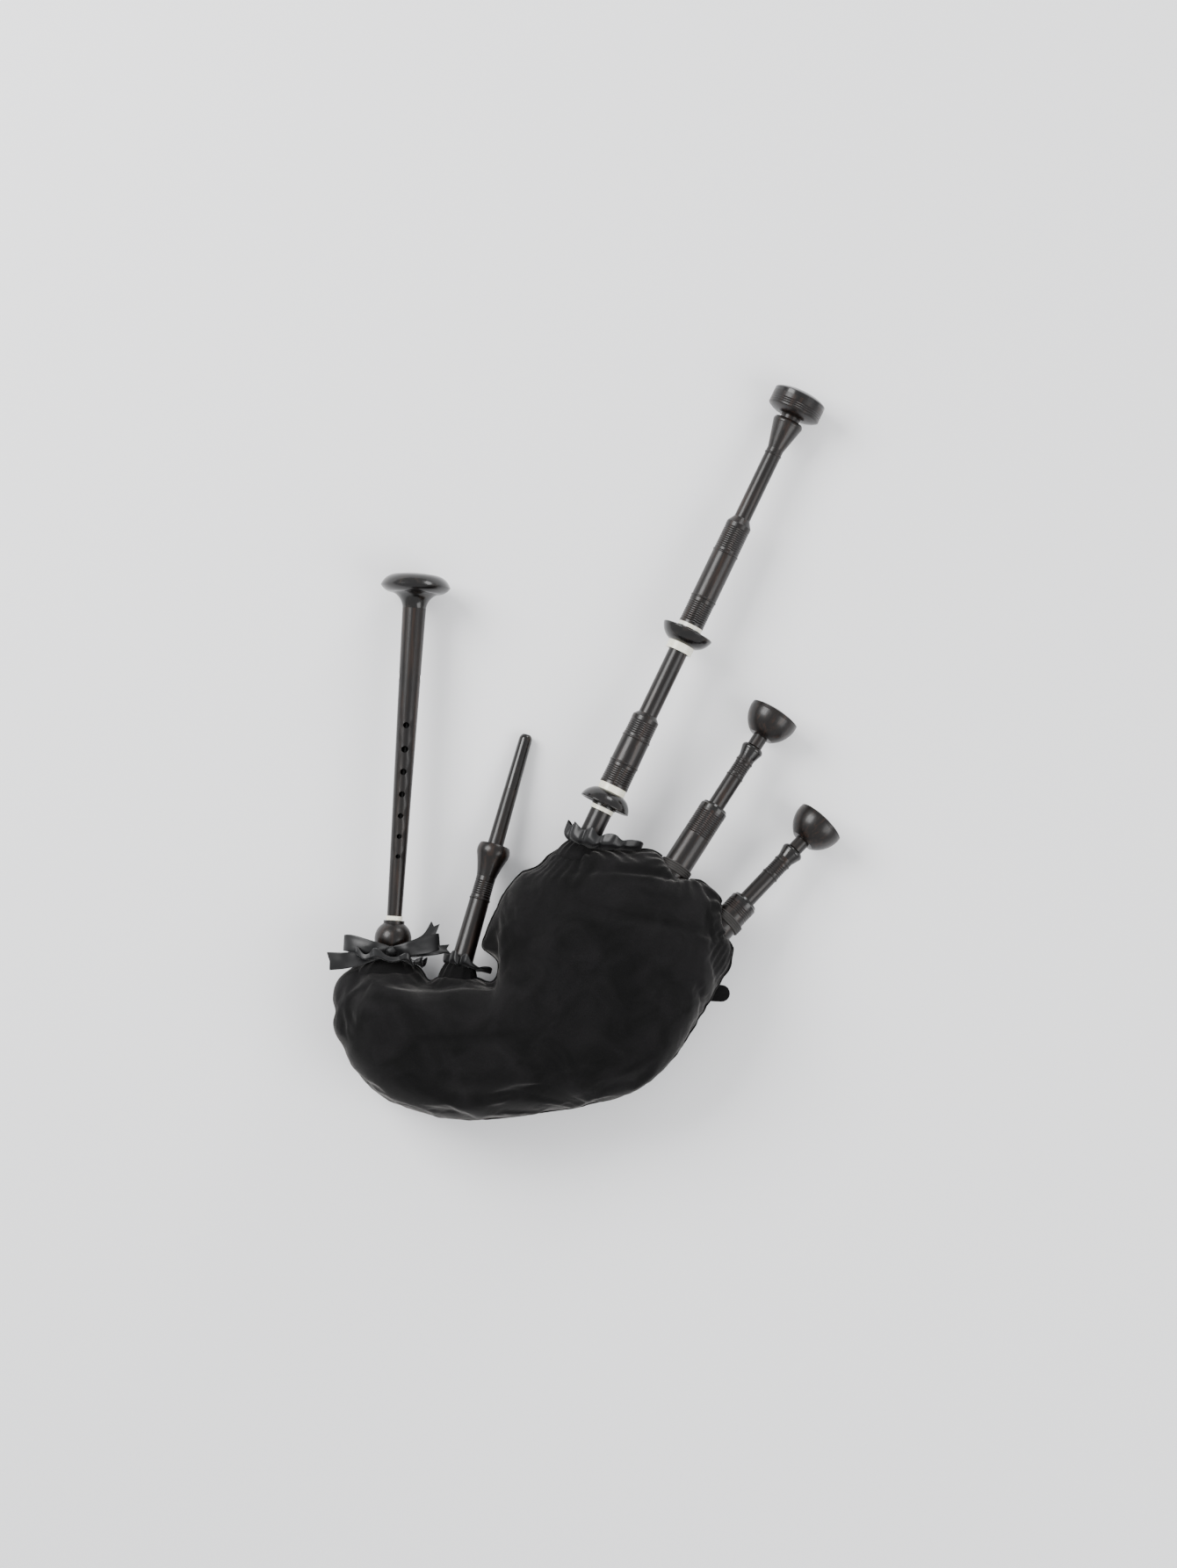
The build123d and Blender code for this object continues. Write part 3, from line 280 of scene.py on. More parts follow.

# %% [markdown]
# ## African blackwood
# Pipes are turned from African blackwood: nearly black, with fine brown-black figure along the grain and a
# hard, oiled polish. The grain is a noise stretched along the pipe's own axis, so each pipe has its own copy
# of the material, turned to lie with it. Pores are short dashes with a little bump and a change of gloss.

# %% Blackwood
def blackwood(pipe):
    """African blackwood, turned and oiled: a nearly black gloss with faint brown streaks along the pipe.
    The figure is about 4 mm wide and 50 mm long, and the pores 0.7 mm wide and 10 mm long. Real pores are
    finer, and are drawn as coarse as they need to be to show."""
    material, tree, shader = new_material("African blackwood, " + pipe, Coat_Weight=0.1, Coat_Roughness=0.15)
    shader.inputs["Specular IOR Level"].default_value = 0.3
    place = pipe_space(tree, pipe)
    stretched = add(tree, "ShaderNodeMapping", Vector=place, Scale=(1, 1, 0.07)).outputs["Vector"]
    figure = add(
        tree, "ShaderNodeTexNoise", Vector=stretched, Scale=260, Detail=6, Roughness=0.6, Distortion=0.6,
    )
    fine = add(tree, "ShaderNodeTexNoise", Vector=stretched, Scale=1500, Detail=3)
    colour = ramp(
        tree, figure.outputs["Fac"], (0.28, linear("#080606")), (0.52, linear("#110d0b")),
        (0.66, linear("#251913")), (0.78, linear("#0d0a08")),
    )
    pores = ramp(tree, fine.outputs["Fac"], (0.36, (0, 0, 0, 1)), (0.46, (1, 1, 1, 1)))
    tree.links.new(colour, shader.inputs["Base Color"])
    gloss = add(tree, "ShaderNodeMapRange", Value=fine.outputs["Fac"])
    gloss.inputs["To Min"].default_value, gloss.inputs["To Max"].default_value = 0.42, 0.24
    tree.links.new(gloss.outputs["Result"], shader.inputs["Roughness"])
    tree.links.new(bump(tree, pores, 0.12, 0.0002), shader.inputs["Normal"])
    return material


WOOD = {pipe: blackwood(pipe) for pipe in PIPES}
print("blackwood for", len(WOOD), "pipes")

# %% [markdown]
# ## Buffalo horn and imitation ivory
# The projecting mounts, bells' bushes and the sole are black buffalo horn, polished to a deep gloss with
# cloudy grey-brown streaks. The bands between are imitation ivory, a cast plastic with faint wavy lines.

# %% Horn and ivory
def horn():
    """Buffalo horn, turned and buffed: a black, wet-looking gloss with cloudy streaks 20 mm across."""
    material, tree, shader = new_material("polished buffalo horn", Coat_Weight=0.15, Coat_Roughness=0.05)
    shader.inputs["Specular IOR Level"].default_value = 0.35
    place = add(tree, "ShaderNodeTexCoord").outputs["Object"]
    cloud = add(tree, "ShaderNodeTexNoise", Vector=place, Scale=55, Detail=5, Roughness=0.62, Distortion=1.6)
    colour = ramp(
        tree, cloud.outputs["Fac"], (0.30, linear("#070606")), (0.55, linear("#0e0c0b")),
        (0.70, linear("#26201b")), (0.80, linear("#100d0c")),
    )
    tree.links.new(colour, shader.inputs["Base Color"])
    wear = add(tree, "ShaderNodeTexNoise", Vector=place, Scale=420, Detail=4)
    gloss = add(tree, "ShaderNodeMapRange", Value=wear.outputs["Fac"])
    gloss.inputs["To Min"].default_value, gloss.inputs["To Max"].default_value = 0.14, 0.30
    tree.links.new(gloss.outputs["Result"], shader.inputs["Roughness"])
    return material


def ivory():
    """Cast imitation ivory: warm white, a little deep, with wavy growth lines 2 to 3 mm apart."""
    material, tree, shader = new_material(
        "cast imitation ivory", Coat_Weight=0.3, Coat_Roughness=0.1, IOR=1.5, Subsurface_Weight=0.12,
    )
    place = add(tree, "ShaderNodeTexCoord").outputs["Object"]
    lines = add(
        tree, "ShaderNodeTexWave", {"bands_direction": "DIAGONAL"}, Vector=place, Scale=260, Distortion=3.5,
        Detail=2,
    )
    colour = ramp(tree, lines.outputs["Fac"], (0.1, linear("#e9dfc6")), (0.9, linear("#f6f0df")))
    tree.links.new(colour, shader.inputs["Base Color"])
    wear = add(tree, "ShaderNodeTexNoise", Vector=place, Scale=300, Detail=3)
    gloss = add(tree, "ShaderNodeMapRange", Value=wear.outputs["Fac"])
    gloss.inputs["To Min"].default_value, gloss.inputs["To Max"].default_value = 0.22, 0.36
    tree.links.new(gloss.outputs["Result"], shader.inputs["Roughness"])
    return material


HORN, IVORY = horn(), ivory()
print("made", HORN.name, "and", IVORY.name)

# %% [markdown]
# ## Velvet
# Velvet is a short pile: dark when seen end on and pale at grazing angles, which is what the sheen does.
# The pile lies this way and that, so a slow noise varies it, and a very fine one roughens it. A painted
# pattern would need unwrapping and would stretch, so it is worked out from each point's place instead.

# %% Velvet
def velvet():
    """Woven cotton velvet: a deep matt black whose turned edges and creases glow grey. Its brushed patches
    are 40 mm across. The pile is really 0.2 mm, and is drawn at 0.5 mm so that it shows."""
    material, tree, shader = new_material(
        "cotton velvet", Roughness=0.95, Sheen_Weight=0.4, Sheen_Roughness=0.3,
    )
    shader.inputs["Sheen Tint"].default_value = linear("#cfccc9")
    shader.inputs["Specular IOR Level"].default_value = 0.15
    place = add(tree, "ShaderNodeTexCoord").outputs["Object"]
    brushed = add(tree, "ShaderNodeTexNoise", Vector=place, Scale=26, Detail=4, Distortion=0.8)
    pile = add(tree, "ShaderNodeTexNoise", Vector=place, Scale=1900, Detail=2)
    slow = ramp(tree, brushed.outputs["Fac"], (0.35, linear("#080808")), (0.65, linear("#161516")))
    tips = ramp(tree, pile.outputs["Fac"], (0.4, (0.45, 0.45, 0.45, 1)), (0.62, (1, 1, 1, 1)))
    mixed = add(
        tree, "ShaderNodeMix", {"data_type": "RGBA", "blend_type": "MULTIPLY"}, _0=1.0, _6=slow, _7=tips,
    )
    tree.links.new(mixed.outputs[2], shader.inputs["Base Color"])
    tree.links.new(bump(tree, pile.outputs["Fac"], 0.5, 0.0004), shader.inputs["Normal"])
    return material


VELVET = velvet()
print("made", VELVET.name)

# %% [markdown]
# ## Satin
# Satin has long floats of smooth thread, so it shines across the thread and hardly along it. Each sheet has
# a UV map in real metres, so the ribs run with the strip that was cut, whichever way the cloth is folded.

# %% Satin
def satin():
    """Woven polyester satin: a smooth black that shines in bands along the folds. Its thread is 0.2 mm, far
    too fine to show, so soft ribs 5 mm apart stand for the way it catches the light."""
    material, tree, shader = new_material(
        "polyester satin", Sheen_Weight=0.1, Sheen_Roughness=0.4, Anisotropic=0.5,
    )
    shader.inputs["Specular IOR Level"].default_value = 0.35
    place = add(tree, "ShaderNodeUVMap").outputs["UV"]
    ribs = add(
        tree, "ShaderNodeTexWave", {"bands_direction": "Y"}, Vector=place, Scale=60, Distortion=0.4,
    )
    slub = add(tree, "ShaderNodeTexNoise", Vector=place, Scale=40, Detail=3)
    colour = ramp(tree, slub.outputs["Fac"], (0.3, linear("#09090a")), (0.7, linear("#151516")))
    tree.links.new(colour, shader.inputs["Base Color"])
    gloss = add(tree, "ShaderNodeMapRange", Value=slub.outputs["Fac"])
    gloss.inputs["To Min"].default_value, gloss.inputs["To Max"].default_value = 0.30, 0.46
    tree.links.new(gloss.outputs["Result"], shader.inputs["Roughness"])
    tree.links.new(bump(tree, ribs.outputs["Fac"], 0.18, 0.0003), shader.inputs["Normal"])
    return material


SATIN = satin()
print("made", SATIN.name)

# %% [markdown]
# ## Thread on the pipes
# Every tenon is wound with waxed hemp until it fits its socket, and a stronger waxed cord ties each stock
# into the bag. Modelling each turn would take thousands of faces, so the turns are bands across the pipe's
# axis that also raise the surface. Each band is painted darker towards its edges, as painted shade in the
# grooves between turns; its pale middle is the thread's own colour.

# %% Waxed thread
def thread_wound(name, pipe, dark, pale, turns):
    """Thread wound round a pipe, its turns side by side along the axis. Waxed hemp is dull and straw brown,
    with turns 1 mm apart at 320; waxed cord is dull and black, with turns 2 mm apart at 150. The dark
    colour is painted shade in the grooves between turns, and the pale one is the thread's own colour."""
    material, tree, shader = new_material(name, Roughness=0.62)
    place = pipe_space(tree, pipe)
    winding = add(
        tree, "ShaderNodeTexWave", {"bands_direction": "Z"}, Vector=place, Scale=turns, Distortion=0.5,
    )
    # painted shade: dark where the bump is low, in the grooves between turns; the thread's own colour on the
    # crowns
    colour = ramp(tree, winding.outputs["Fac"], (0.15, linear(dark)), (0.8, linear(pale)))
    tree.links.new(colour, shader.inputs["Base Color"])
    tree.links.new(bump(tree, winding.outputs["Fac"], 0.6, 0.0004), shader.inputs["Normal"])
    return material


# first colour of each: painted shade in the grooves between turns; second: the thread's own colour
HEMP = {pipe: thread_wound("waxed hemp, " + pipe, pipe, "#6b4a1e", "#c9a262", 320) for pipe in PIPES}
TIE_CORD = {pipe: thread_wound("waxed cord, " + pipe, pipe, "#0d0c0b", "#2b2724", 150) for pipe in PIPES}
print("made", len(HEMP) + len(TIE_CORD), "windings")

# %% [markdown]
# ## The materials inside
# The hide bag, the cane reeds, the reed's brass staple and the leather flap only show when the pipes are
# pulled out. They are all plain stuffs with a soft mottle, so one function makes the four of them.

# %% Hide, cane, brass and flap leather
def mottled(name, dark, pale, scale, roughness, **fixed):
    """A plain material with a soft mottle and a fine bump: hide, cane, drawn brass or leather."""
    material, tree, shader = new_material(name, Roughness=roughness, **fixed)
    place = add(tree, "ShaderNodeTexCoord").outputs["Object"]
    spots = add(tree, "ShaderNodeTexNoise", Vector=place, Scale=scale, Detail=5)
    colour = ramp(tree, spots.outputs["Fac"], (0.3, linear(dark)), (0.7, linear(pale)))
    tree.links.new(colour, shader.inputs["Base Color"])
    tree.links.new(bump(tree, spots.outputs["Fac"], 0.25, 0.0002), shader.inputs["Normal"])
    return material


# tanned hide is a warm brown, patchy over 6 mm; bare cane is pale and silky, flecked every 2 to 3 mm;
# drawn brass is a soft yellow metal, clouded over 2 mm; flap leather is dark and matt, with a 2 mm grain
HIDE = mottled("tanned hide", "#6a4425", "#9a6b3f", 160, 0.6)
CANE = mottled("bare cane", "#b98f48", "#e2c07c", 420, 0.45)
BRASS = mottled("drawn brass", "#b08a3e", "#d8b468", 600, 0.28, Metallic=1.0)
FLAP = mottled("flap leather", "#3a2213", "#5c3820", 500, 0.7)
print("made", HIDE.name, CANE.name, BRASS.name, FLAP.name, sep=", ")

# %% [markdown]
# ## Dressing the CAD nodes
# The turned pieces keep their CAD meshes. Each takes the finish that its slot in the record names, in the
# copy that is turned to its own pipe.

# %% Materials for the CAD nodes
def pipe_of(node):
    """The pipe that a node belongs to."""
    return next((pipe for pipe in PIPES if node.startswith(pipe)), "blowpipe")


slot_of = {part["node"]: part["material_slot"] for part in frame["record"]["subparts"]}
for name, node in nodes.items():
    pipe = pipe_of(name)
    finish = {
        "blackwood": WOOD[pipe], "horn": HORN, "ivory": IVORY, "hemp": HEMP[pipe], "cord": TIE_CORD[pipe],
        "cane": CANE, "staple": BRASS, "hide": HIDE, "flap": FLAP, "velvet": VELVET, "satin": SATIN,
    }[slot_of[name]]
    node.data.materials.clear()
    node.data.materials.append(finish)
print("dressed", len(nodes), "CAD nodes")

# %% [markdown]
# ## The velvet cover
# The cover is one soft shell round the filled bag. It starts as a copy of the CAD shell: its outer skin is
# kept, the holes for the stocks are closed, and it is remeshed evenly. Gathers run out from each tie and a
# straight sewn corner stands out beside the neck. Then it is blown up as cloth, which rounds the folds.

# %% Copy the outer skin of the CAD shell
DOUBLES = 0.02 * MM


def copy_of(node, name):
    """A copy of a CAD node's mesh as a new piece, with its doubles merged."""
    piece = bpy.data.objects.new(name, nodes[node].data.copy())
    bpy.context.scene.collection.objects.link(piece)
    only(piece)
    bpy.ops.object.mode_set(mode="EDIT")
    bpy.ops.mesh.select_all(action="SELECT")
    bpy.ops.mesh.remove_doubles(threshold=DOUBLES)
    bpy.ops.mesh.select_all(action="DESELECT")
    bpy.ops.object.mode_set(mode="OBJECT")
    return piece


def off_axis(point, pipe):
    """How far a point is from a pipe's axis, and how far along it, in metres."""
    local = TO_PIPE[pipe] @ point
    return math.hypot(local.x, local.y), local.z


PASSAGE_MARGIN, PASSAGE_REACH = 5.2 * MM, 36 * MM


def in_passage(point):
    """Whether a point is in the wall of one of the passages that the stocks go through."""
    for pipe, radius in STOCK_RADIUS.items():
        distance, height = off_axis(point, pipe)
        if distance < radius * MM + PASSAGE_MARGIN and abs(height) < PASSAGE_REACH:
            return True
    return False


cover = copy_of("bag_cover", "velvet_cover")
choose(cover, in_passage)
bpy.ops.mesh.delete(type="VERT")
bpy.ops.object.mode_set(mode="OBJECT")
summit = max(vertex.co.z for vertex in cover.data.vertices)
choose(cover, lambda point: point.z == summit)
bpy.ops.mesh.select_linked()
bpy.ops.mesh.select_all(action="INVERT")
bpy.ops.mesh.delete(type="VERT")
bpy.ops.mesh.select_all(action="SELECT")
bpy.ops.mesh.fill_holes(sides=0)
bpy.ops.mesh.select_all(action="SELECT")
bpy.ops.mesh.normals_make_consistent(inside=False)
bpy.ops.object.mode_set(mode="OBJECT")
print("outer skin:", len(cover.data.vertices), "points")

# %% [markdown]
# The copied skin has long thin triangles where it is flat and tiny ones at the ties, and neither folds nor
# cloth can bend those. A voxel remesh covers it with even squares instead. It leaves small steps, which a
# light smoothing takes away.

# %% Remesh it evenly
VOXEL = 3.2 * MM
remesh = cover.modifiers.new("even mesh", "REMESH")
remesh.mode, remesh.voxel_size = "VOXEL", VOXEL
smooth = cover.modifiers.new("smooth", "SMOOTH")
smooth.factor, smooth.iterations = 0.5, 4
apply_modifiers(cover)
print("even skin:", len(cover.data.vertices), "points")

# %% [markdown]
# The seam runs level round the bag's widest edge, and a little lower at the neck. Folds are strongest near
# the seam and the ties, where the cloth is held, so three small functions say where a point lies.

# %% Where a point lies on the cover
def seam_height(point):
    """The seam's height over that place: it follows the stocks down towards the neck."""
    high, low = FRAMES["bass"].translation, FRAMES["chanter"].translation
    share = min(1, max(0, (high.x - point.x) / (high.x - low.x)))
    return high.z + (low.z - high.z) * share


def near(value, reach):
    """1 at nothing, falling smoothly to 0 at reach and beyond."""
    share = min(1, abs(value) / reach)
    return (1 - share * share) ** 2


def between(value, places):
    """A value read off a list of (place, value) pairs, straight between them and 0 outside."""
    for (low, first), (high, last) in zip(places, places[1:]):
        if low <= value <= high:
            return first + (last - first) * (value - low) / (high - low)
    return 0.0


# %% [markdown]
# Beside the neck the two halves of the cover are sewn square, so a blunt corner of spare cloth stands out.
# It could be a piece of its own, but it is one cloth with the bag, so the skin is pushed out to it.

# %% The sewn corner
# The cover's left edge at seam height, and where its seam's blunt corner stands out to, in millimetres.
LEFT_EDGE = ((20, -63), (26, -64), (50, -63), (74, -60), (88, -54), (97, -46))
CORNER_EDGE = ((20, -63), (24, -66), (36, -79.5), (50, -73), (74, -61.5), (87, -56), (97, -46))
CORNER_RISE, CORNER_ROOT = 26, -38


def corner_push(point):
    """How far out the straight sewn corner stands there, in metres along -X."""
    y, x = point.y / MM, point.x / MM
    edge = between(y, LEFT_EDGE)
    if edge == 0 or x > CORNER_ROOT:
        return 0.0
    depth = min(1, (CORNER_ROOT - x) / (CORNER_ROOT - edge))
    height = (point.z - seam_height(point)) / MM
    return (edge - between(y, CORNER_EDGE)) * depth ** 1.5 * near(height, CORNER_RISE) * MM


# %% [markdown]
# A stock is thinner than the hole it fills, so the cloth is drawn in round it and its fullness runs out
# from the tie in pleats. A wave round each pipe's axis makes them, with a noise that keeps them uneven.

# %% Gathers at the ties
PLEAT_FULLNESS = 1.6
GATHERS = {  # pleats round each tie, depth and reach in millimetres
    "chanter": (9, 3.4, 44), "blowpipe": (8, 2.8, 36), "bass": (11, 4.0, 70),
    "tenor_1": (10, 3.6, 60), "tenor_2": (10, 4.2, 66),
}


def gathers(point):
    """Folds that run out from the ties, in metres along the normal."""
    total = 0.0
    for pipe, (count, depth, reach) in GATHERS.items():
        local = TO_PIPE[pipe] @ point
        fade = near(local.length, reach * MM)
        if fade:
            wander = 2.4 * noise.noise(point * 26) + 14 * local.length
            pleat = math.cos(count * math.atan2(local.y, local.x) + wander)
            total += depth * MM * fade * (1 - abs(pleat)) * PLEAT_FULLNESS
    return total


# %% [markdown]
# The cover is cut a little wide, and what is spare gathers in soft lumps along the seam. Each lump is a
# place, a reach and a height. The slack of the whole cover is a slow noise with creases cut into it.

# %% Folds at the seam, and slack
EDGE_FOLDS = (  # lumps of spare cloth: place in plan, reach, and how far each stands out, in millimetres
    ((170, 47), 17, 11.5), ((164, 23), 13, 7.0), ((158, 8), 12, 2.5), ((88, 121), 17, 7.5),
    ((132, 101), 20, 3.5), ((151, 84), 16, 5.5), ((-222, -6), 14, 3.0), ((-30, 110), 26, 2.5),
    ((-206, 3), 20, 9.0), ((-146, 8), 15, 7.0), ((-121, 4), 12, 5.5), ((-1, 124), 17, 8.0),
    ((62, 127), 18, 4.0),
)


def edge_folds(point):
    """How far the lumps of spare cloth stand out there, in metres."""
    total = 0.0
    for (x, y), reach, out in EDGE_FOLDS:
        distance = math.hypot(point.x - x * MM, point.y - y * MM)
        total += out * MM * near(distance, reach * 1.5 * MM)
    return total * near(point.z - seam_height(point) - 4 * MM, 34 * MM)


def slack(point):
    """Slow swells and soft creases of a bag that isn't blown up tight, in metres outwards."""
    swell = 0.5 + noise.fractal(point * 8, 1.0, 2.1, 2)
    crease = abs(noise.noise(Vector((point.x * 7 + point.y * 4, point.y * 17, point.z * 9))))
    return (4.2 * swell - 3.4 * near(crease, 0.16)) * MM


# %% [markdown]
# All four are now added up and every point is moved once. The hide bag is close under the cover, so no fold
# goes far in, and near the table the cloth lies flat.

# %% Shape the cover
DEEPEST = 1.8 * MM
FLAT_BELOW = 20 * MM
normals = [vertex.normal.copy() for vertex in cover.data.vertices]
for vertex, normal in zip(cover.data.vertices, normals):
    point = vertex.co.copy()
    off_table = min(1, point.z / FLAT_BELOW)
    point += normal * max(-DEEPEST, gathers(point) + slack(point)) * off_table
    point += Vector((normal.x, normal.y, 0)) * edge_folds(point)
    point.x -= corner_push(vertex.co)
    point.z = max(point.z, DROOP)
    vertex.co = point
cover.data.update()
print("gathered the cover at", len(GATHERS), "ties")

# %% [markdown]
# The folds are still sharp, as if cut in wood. Blender's cloth, with a little air pressure inside and no
# weight, swells the skin between the places where it is held, and rounds them. How far a point may move is
# capped, so the bag keeps its size and doesn't sink into the hide.

# %% Blow it up as cloth
CAP_OUT, CAP_IN = 5 * MM, 1.2 * MM
PRESSURE, FRAMES_BLOWN = 3.0, 18
TIE_HOLD, TIE_GRIP, SEAM_HOLD, SEAM_BAND, TABLE_BAND = 9, 1.6, 0.75, 4 * MM, 3 * MM


def blow_up(piece, pressure, frames, pinned):
    """Cloth with a little pressure: pinned points stay, and no point moves further than the cap."""
    start = [vertex.co.copy() for vertex in piece.data.vertices]
    group = piece.vertex_groups.new(name="held")
    for vertex in piece.data.vertices:
        group.add([vertex.index], pinned(vertex.co), "REPLACE")
    cloth = piece.modifiers.new("cloth", "CLOTH")
    settings = cloth.settings
    settings.quality, settings.mass, settings.effector_weights.gravity = 6, 0.25, 0
    settings.tension_stiffness, settings.compression_stiffness, settings.bending_stiffness = 25, 25, 0.4
    settings.use_pressure, settings.uniform_pressure_force = True, pressure
    settings.vertex_group_mass, settings.shrink_min = "held", -0.035
    cloth.point_cache.frame_start, cloth.point_cache.frame_end = 1, frames
    for step in range(1, frames + 1):
        bpy.context.scene.frame_set(step)
    depsgraph = bpy.context.evaluated_depsgraph_get()
    moved = [vertex.co.copy() for vertex in piece.evaluated_get(depsgraph).data.vertices]
    piece.modifiers.remove(cloth)
    furthest = 0.0
    normals = [vertex.normal.copy() for vertex in piece.data.vertices]
    for vertex, normal, before, after in zip(piece.data.vertices, normals, start, moved):
        step = after - before
        furthest = max(furthest, step.length)
        cap = CAP_IN if step.dot(normal) < 0 else CAP_OUT
        if step.length > cap:
            step *= cap / step.length
        vertex.co = before + step
        vertex.co.z = max(vertex.co.z, DROOP)
    piece.vertex_groups.clear()
    bpy.context.scene.frame_set(1)
    return furthest


def held(point):
    """How firmly the cover is held there: on the table, at the ties and along the seam."""
    tie = max(
        near(off_axis(point, pipe)[0], (radius + TIE_HOLD) * MM) for pipe, radius in STOCK_RADIUS.items()
    )
    seam = SEAM_HOLD * near(point.z - seam_height(point), SEAM_BAND)
    return max(1.0 if point.z < TABLE_BAND else 0.0, min(1, TIE_GRIP * tie), seam)


furthest = blow_up(cover, PRESSURE, FRAMES_BLOWN, held)
print("cloth moved up to", round(furthest / MM, 1), "mm before the cap")

# %% [markdown]
# The hide bag fills the cover, so nowhere may the velvet sink into it. The nearest point of the hide is
# looked up for each point of the cover, and the cover is lifted off it where it's too close. Where a stock
# comes through, the velvet ends inside the stock's wall.

# %% Finish the cover
HIDE_CLEAR, HOLE_IN, HIDE_REACH = 1.3 * MM, 2.8 * MM, 12 * MM
SAME_WAY = 0.3  # how nearly the hide and the cover have to face alike before they are compared


def lift_off_hide(piece):
    """Move the cover's points out to at least HIDE_CLEAR from the hide bag."""
    hide = BVHTree.FromObject(nodes["bag_hide"], bpy.context.evaluated_depsgraph_get())
    normals = [vertex.normal.copy() for vertex in piece.data.vertices]
    lifted = 0
    for vertex, normal in zip(piece.data.vertices, normals):
        place, out, _, distance = hide.find_nearest(vertex.co, HIDE_REACH)
        if place is None or out.dot(normal) < SAME_WAY:
            continue
        if (vertex.co - place).dot(out) < HIDE_CLEAR:
            vertex.co = place + out * HIDE_CLEAR
            lifted += 1
    print("lifted", lifted, "points of", piece.name, "off the hide")


def inside_a_stock(point):
    """Whether a point is well inside a stock's wall or its bore."""
    for pipe, radius in STOCK_RADIUS.items():
        distance, height = off_axis(point, pipe)
        if distance < radius * MM - HOLE_IN and abs(height) < PASSAGE_REACH:
            return True
    return False


soften = cover.modifiers.new("soften", "SMOOTH")
soften.factor, soften.iterations = 0.5, 2
apply_modifiers(cover)
lift_off_hide(cover)
choose(cover, inside_a_stock)
bpy.ops.mesh.delete(type="VERT")
bpy.ops.object.mode_set(mode="OBJECT")
finer = cover.modifiers.new("finer", "SUBSURF")
finer.levels = finer.render_levels = 1
apply_modifiers(cover)
lift_off_hide(cover)
for vertex in cover.data.vertices:
    vertex.co.z = max(vertex.co.z, DROOP)
settle(cover, "bag", VELVET)
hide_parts("bag_cover")

# %% [markdown]
# ## Piping along the seam
# The two halves of the cover meet in a corded seam. Cutting a copy of the cover with a plane that dips
# towards the neck leaves just that line, so the piping follows every fold. It stops short of the stocks.

# %% Seam piping
PIPING_R, STOCK_CLEAR, STOCK_REACH = 1.5 * MM, 4, 50 * MM
seam_cut = bpy.data.objects.new("seam_piping", cover.data.copy())
bpy.context.scene.collection.objects.link(seam_cut)
only(seam_cut)
slope = (FRAMES["bass"].translation.z - FRAMES["chanter"].translation.z) / (
    FRAMES["bass"].translation.x - FRAMES["chanter"].translation.x)
bpy.ops.object.mode_set(mode="EDIT")
bpy.ops.mesh.select_all(action="SELECT")
bpy.ops.mesh.bisect(plane_co=FRAMES["bass"].translation, plane_no=(-slope, 0, 1), use_fill=False)
bpy.ops.mesh.select_all(action="INVERT")
bpy.ops.mesh.delete(type="VERT")
bpy.ops.mesh.select_all(action="SELECT")
bpy.ops.mesh.delete(type="ONLY_FACE")
bpy.ops.object.mode_set(mode="OBJECT")


def at_a_stock(point):
    """Whether a point of the seam is where a stock comes through it."""
    for pipe, radius in STOCK_RADIUS.items():
        distance, height = off_axis(point, pipe)
        if distance < (radius + STOCK_CLEAR) * MM and abs(height) < STOCK_REACH:
            return True
    return False


choose(seam_cut, at_a_stock)
bpy.ops.mesh.delete(type="VERT")
bpy.ops.object.mode_set(mode="OBJECT")
bpy.ops.object.convert(target="CURVE")
seam_cut.data.bevel_depth, seam_cut.data.bevel_resolution = PIPING_R, 2
seam_cut.data.use_fill_caps = True
bpy.ops.object.convert(target="MESH")
settle(seam_cut, "bag", VELVET)

# %% [markdown]
# ## Frills
# A frill is a strip of satin gathered tight on one edge and sewn round the sleeve that the stock comes out
# of, so its free edge stands round the stock as a wavy cuff. A ring of points is extruded row by row in edit
# mode, and each row is then spread out and waved more than the one before. Solidify gives it thickness.

# %% The frill's shape
def right_side(angle):
    """1 at the pipe's right, falling softly to 0 at its left, where the angle is 0."""
    return (0.5 - 0.5 * math.cos(angle)) ** 2.5


def one_sided(left, right):
    """A size that differs between the pipe's left and its right."""
    return lambda angle: left + (right - left) * right_side(angle)


def frill_point(angle, share, inner, outer, low, high, pleats, stand):
    """A point of a frill: share runs from 0 at its gathered edge to 1 at its free one. Millimetres.
    Where stand is 1, the right side stands forward, clear of the bag; where it's 0, it hangs."""
    round_trip = Vector((math.cos(angle), math.sin(angle), pleats))
    drift = 2.2 * noise.noise(round_trip * 1.3)
    uneven = 0.75 + 0.6 * noise.noise(round_trip * 2.3)
    wave = math.cos(pleats * angle + drift)
    fold = math.sin(pleats * angle + 0.8 * wave + drift)
    spread = 1 - (1 - min(1, share * 1.5)) ** 2
    radius = inner + (outer(angle) - inner) * spread
    radius += uneven * spread * (2.6 * fold - 1.2) + 1.6 * share * share * wave
    clear = stand * right_side(angle)
    height = low + (high(angle) - low) * share ** (1.2 - 0.7 * clear)
    height -= 3.5 * (1 - clear) * math.sin(math.pi * share)
    height += uneven * share * (5.6 - 2.2 * stand) * wave
    return Vector((radius * math.cos(angle), radius * math.sin(angle), height))


# %% [markdown]
# Frills and sleeves are both tubes of cloth, so they share the next steps: rows of points are extruded, each
# point is put in its place, and the sheet is turned to its pipe and given thickness. Its UV map is in real
# metres of the strip, which is what keeps the satin's ribs the same size on every piece.

# %% Cloth with thickness, laid at its pipe
ROWS, ROW_STEP = 14, 0.5 * MM
RING_R = 10 * MM
FRILL_THICKNESS, RIBBON_THICKNESS = 0.7 * MM, 0.5 * MM


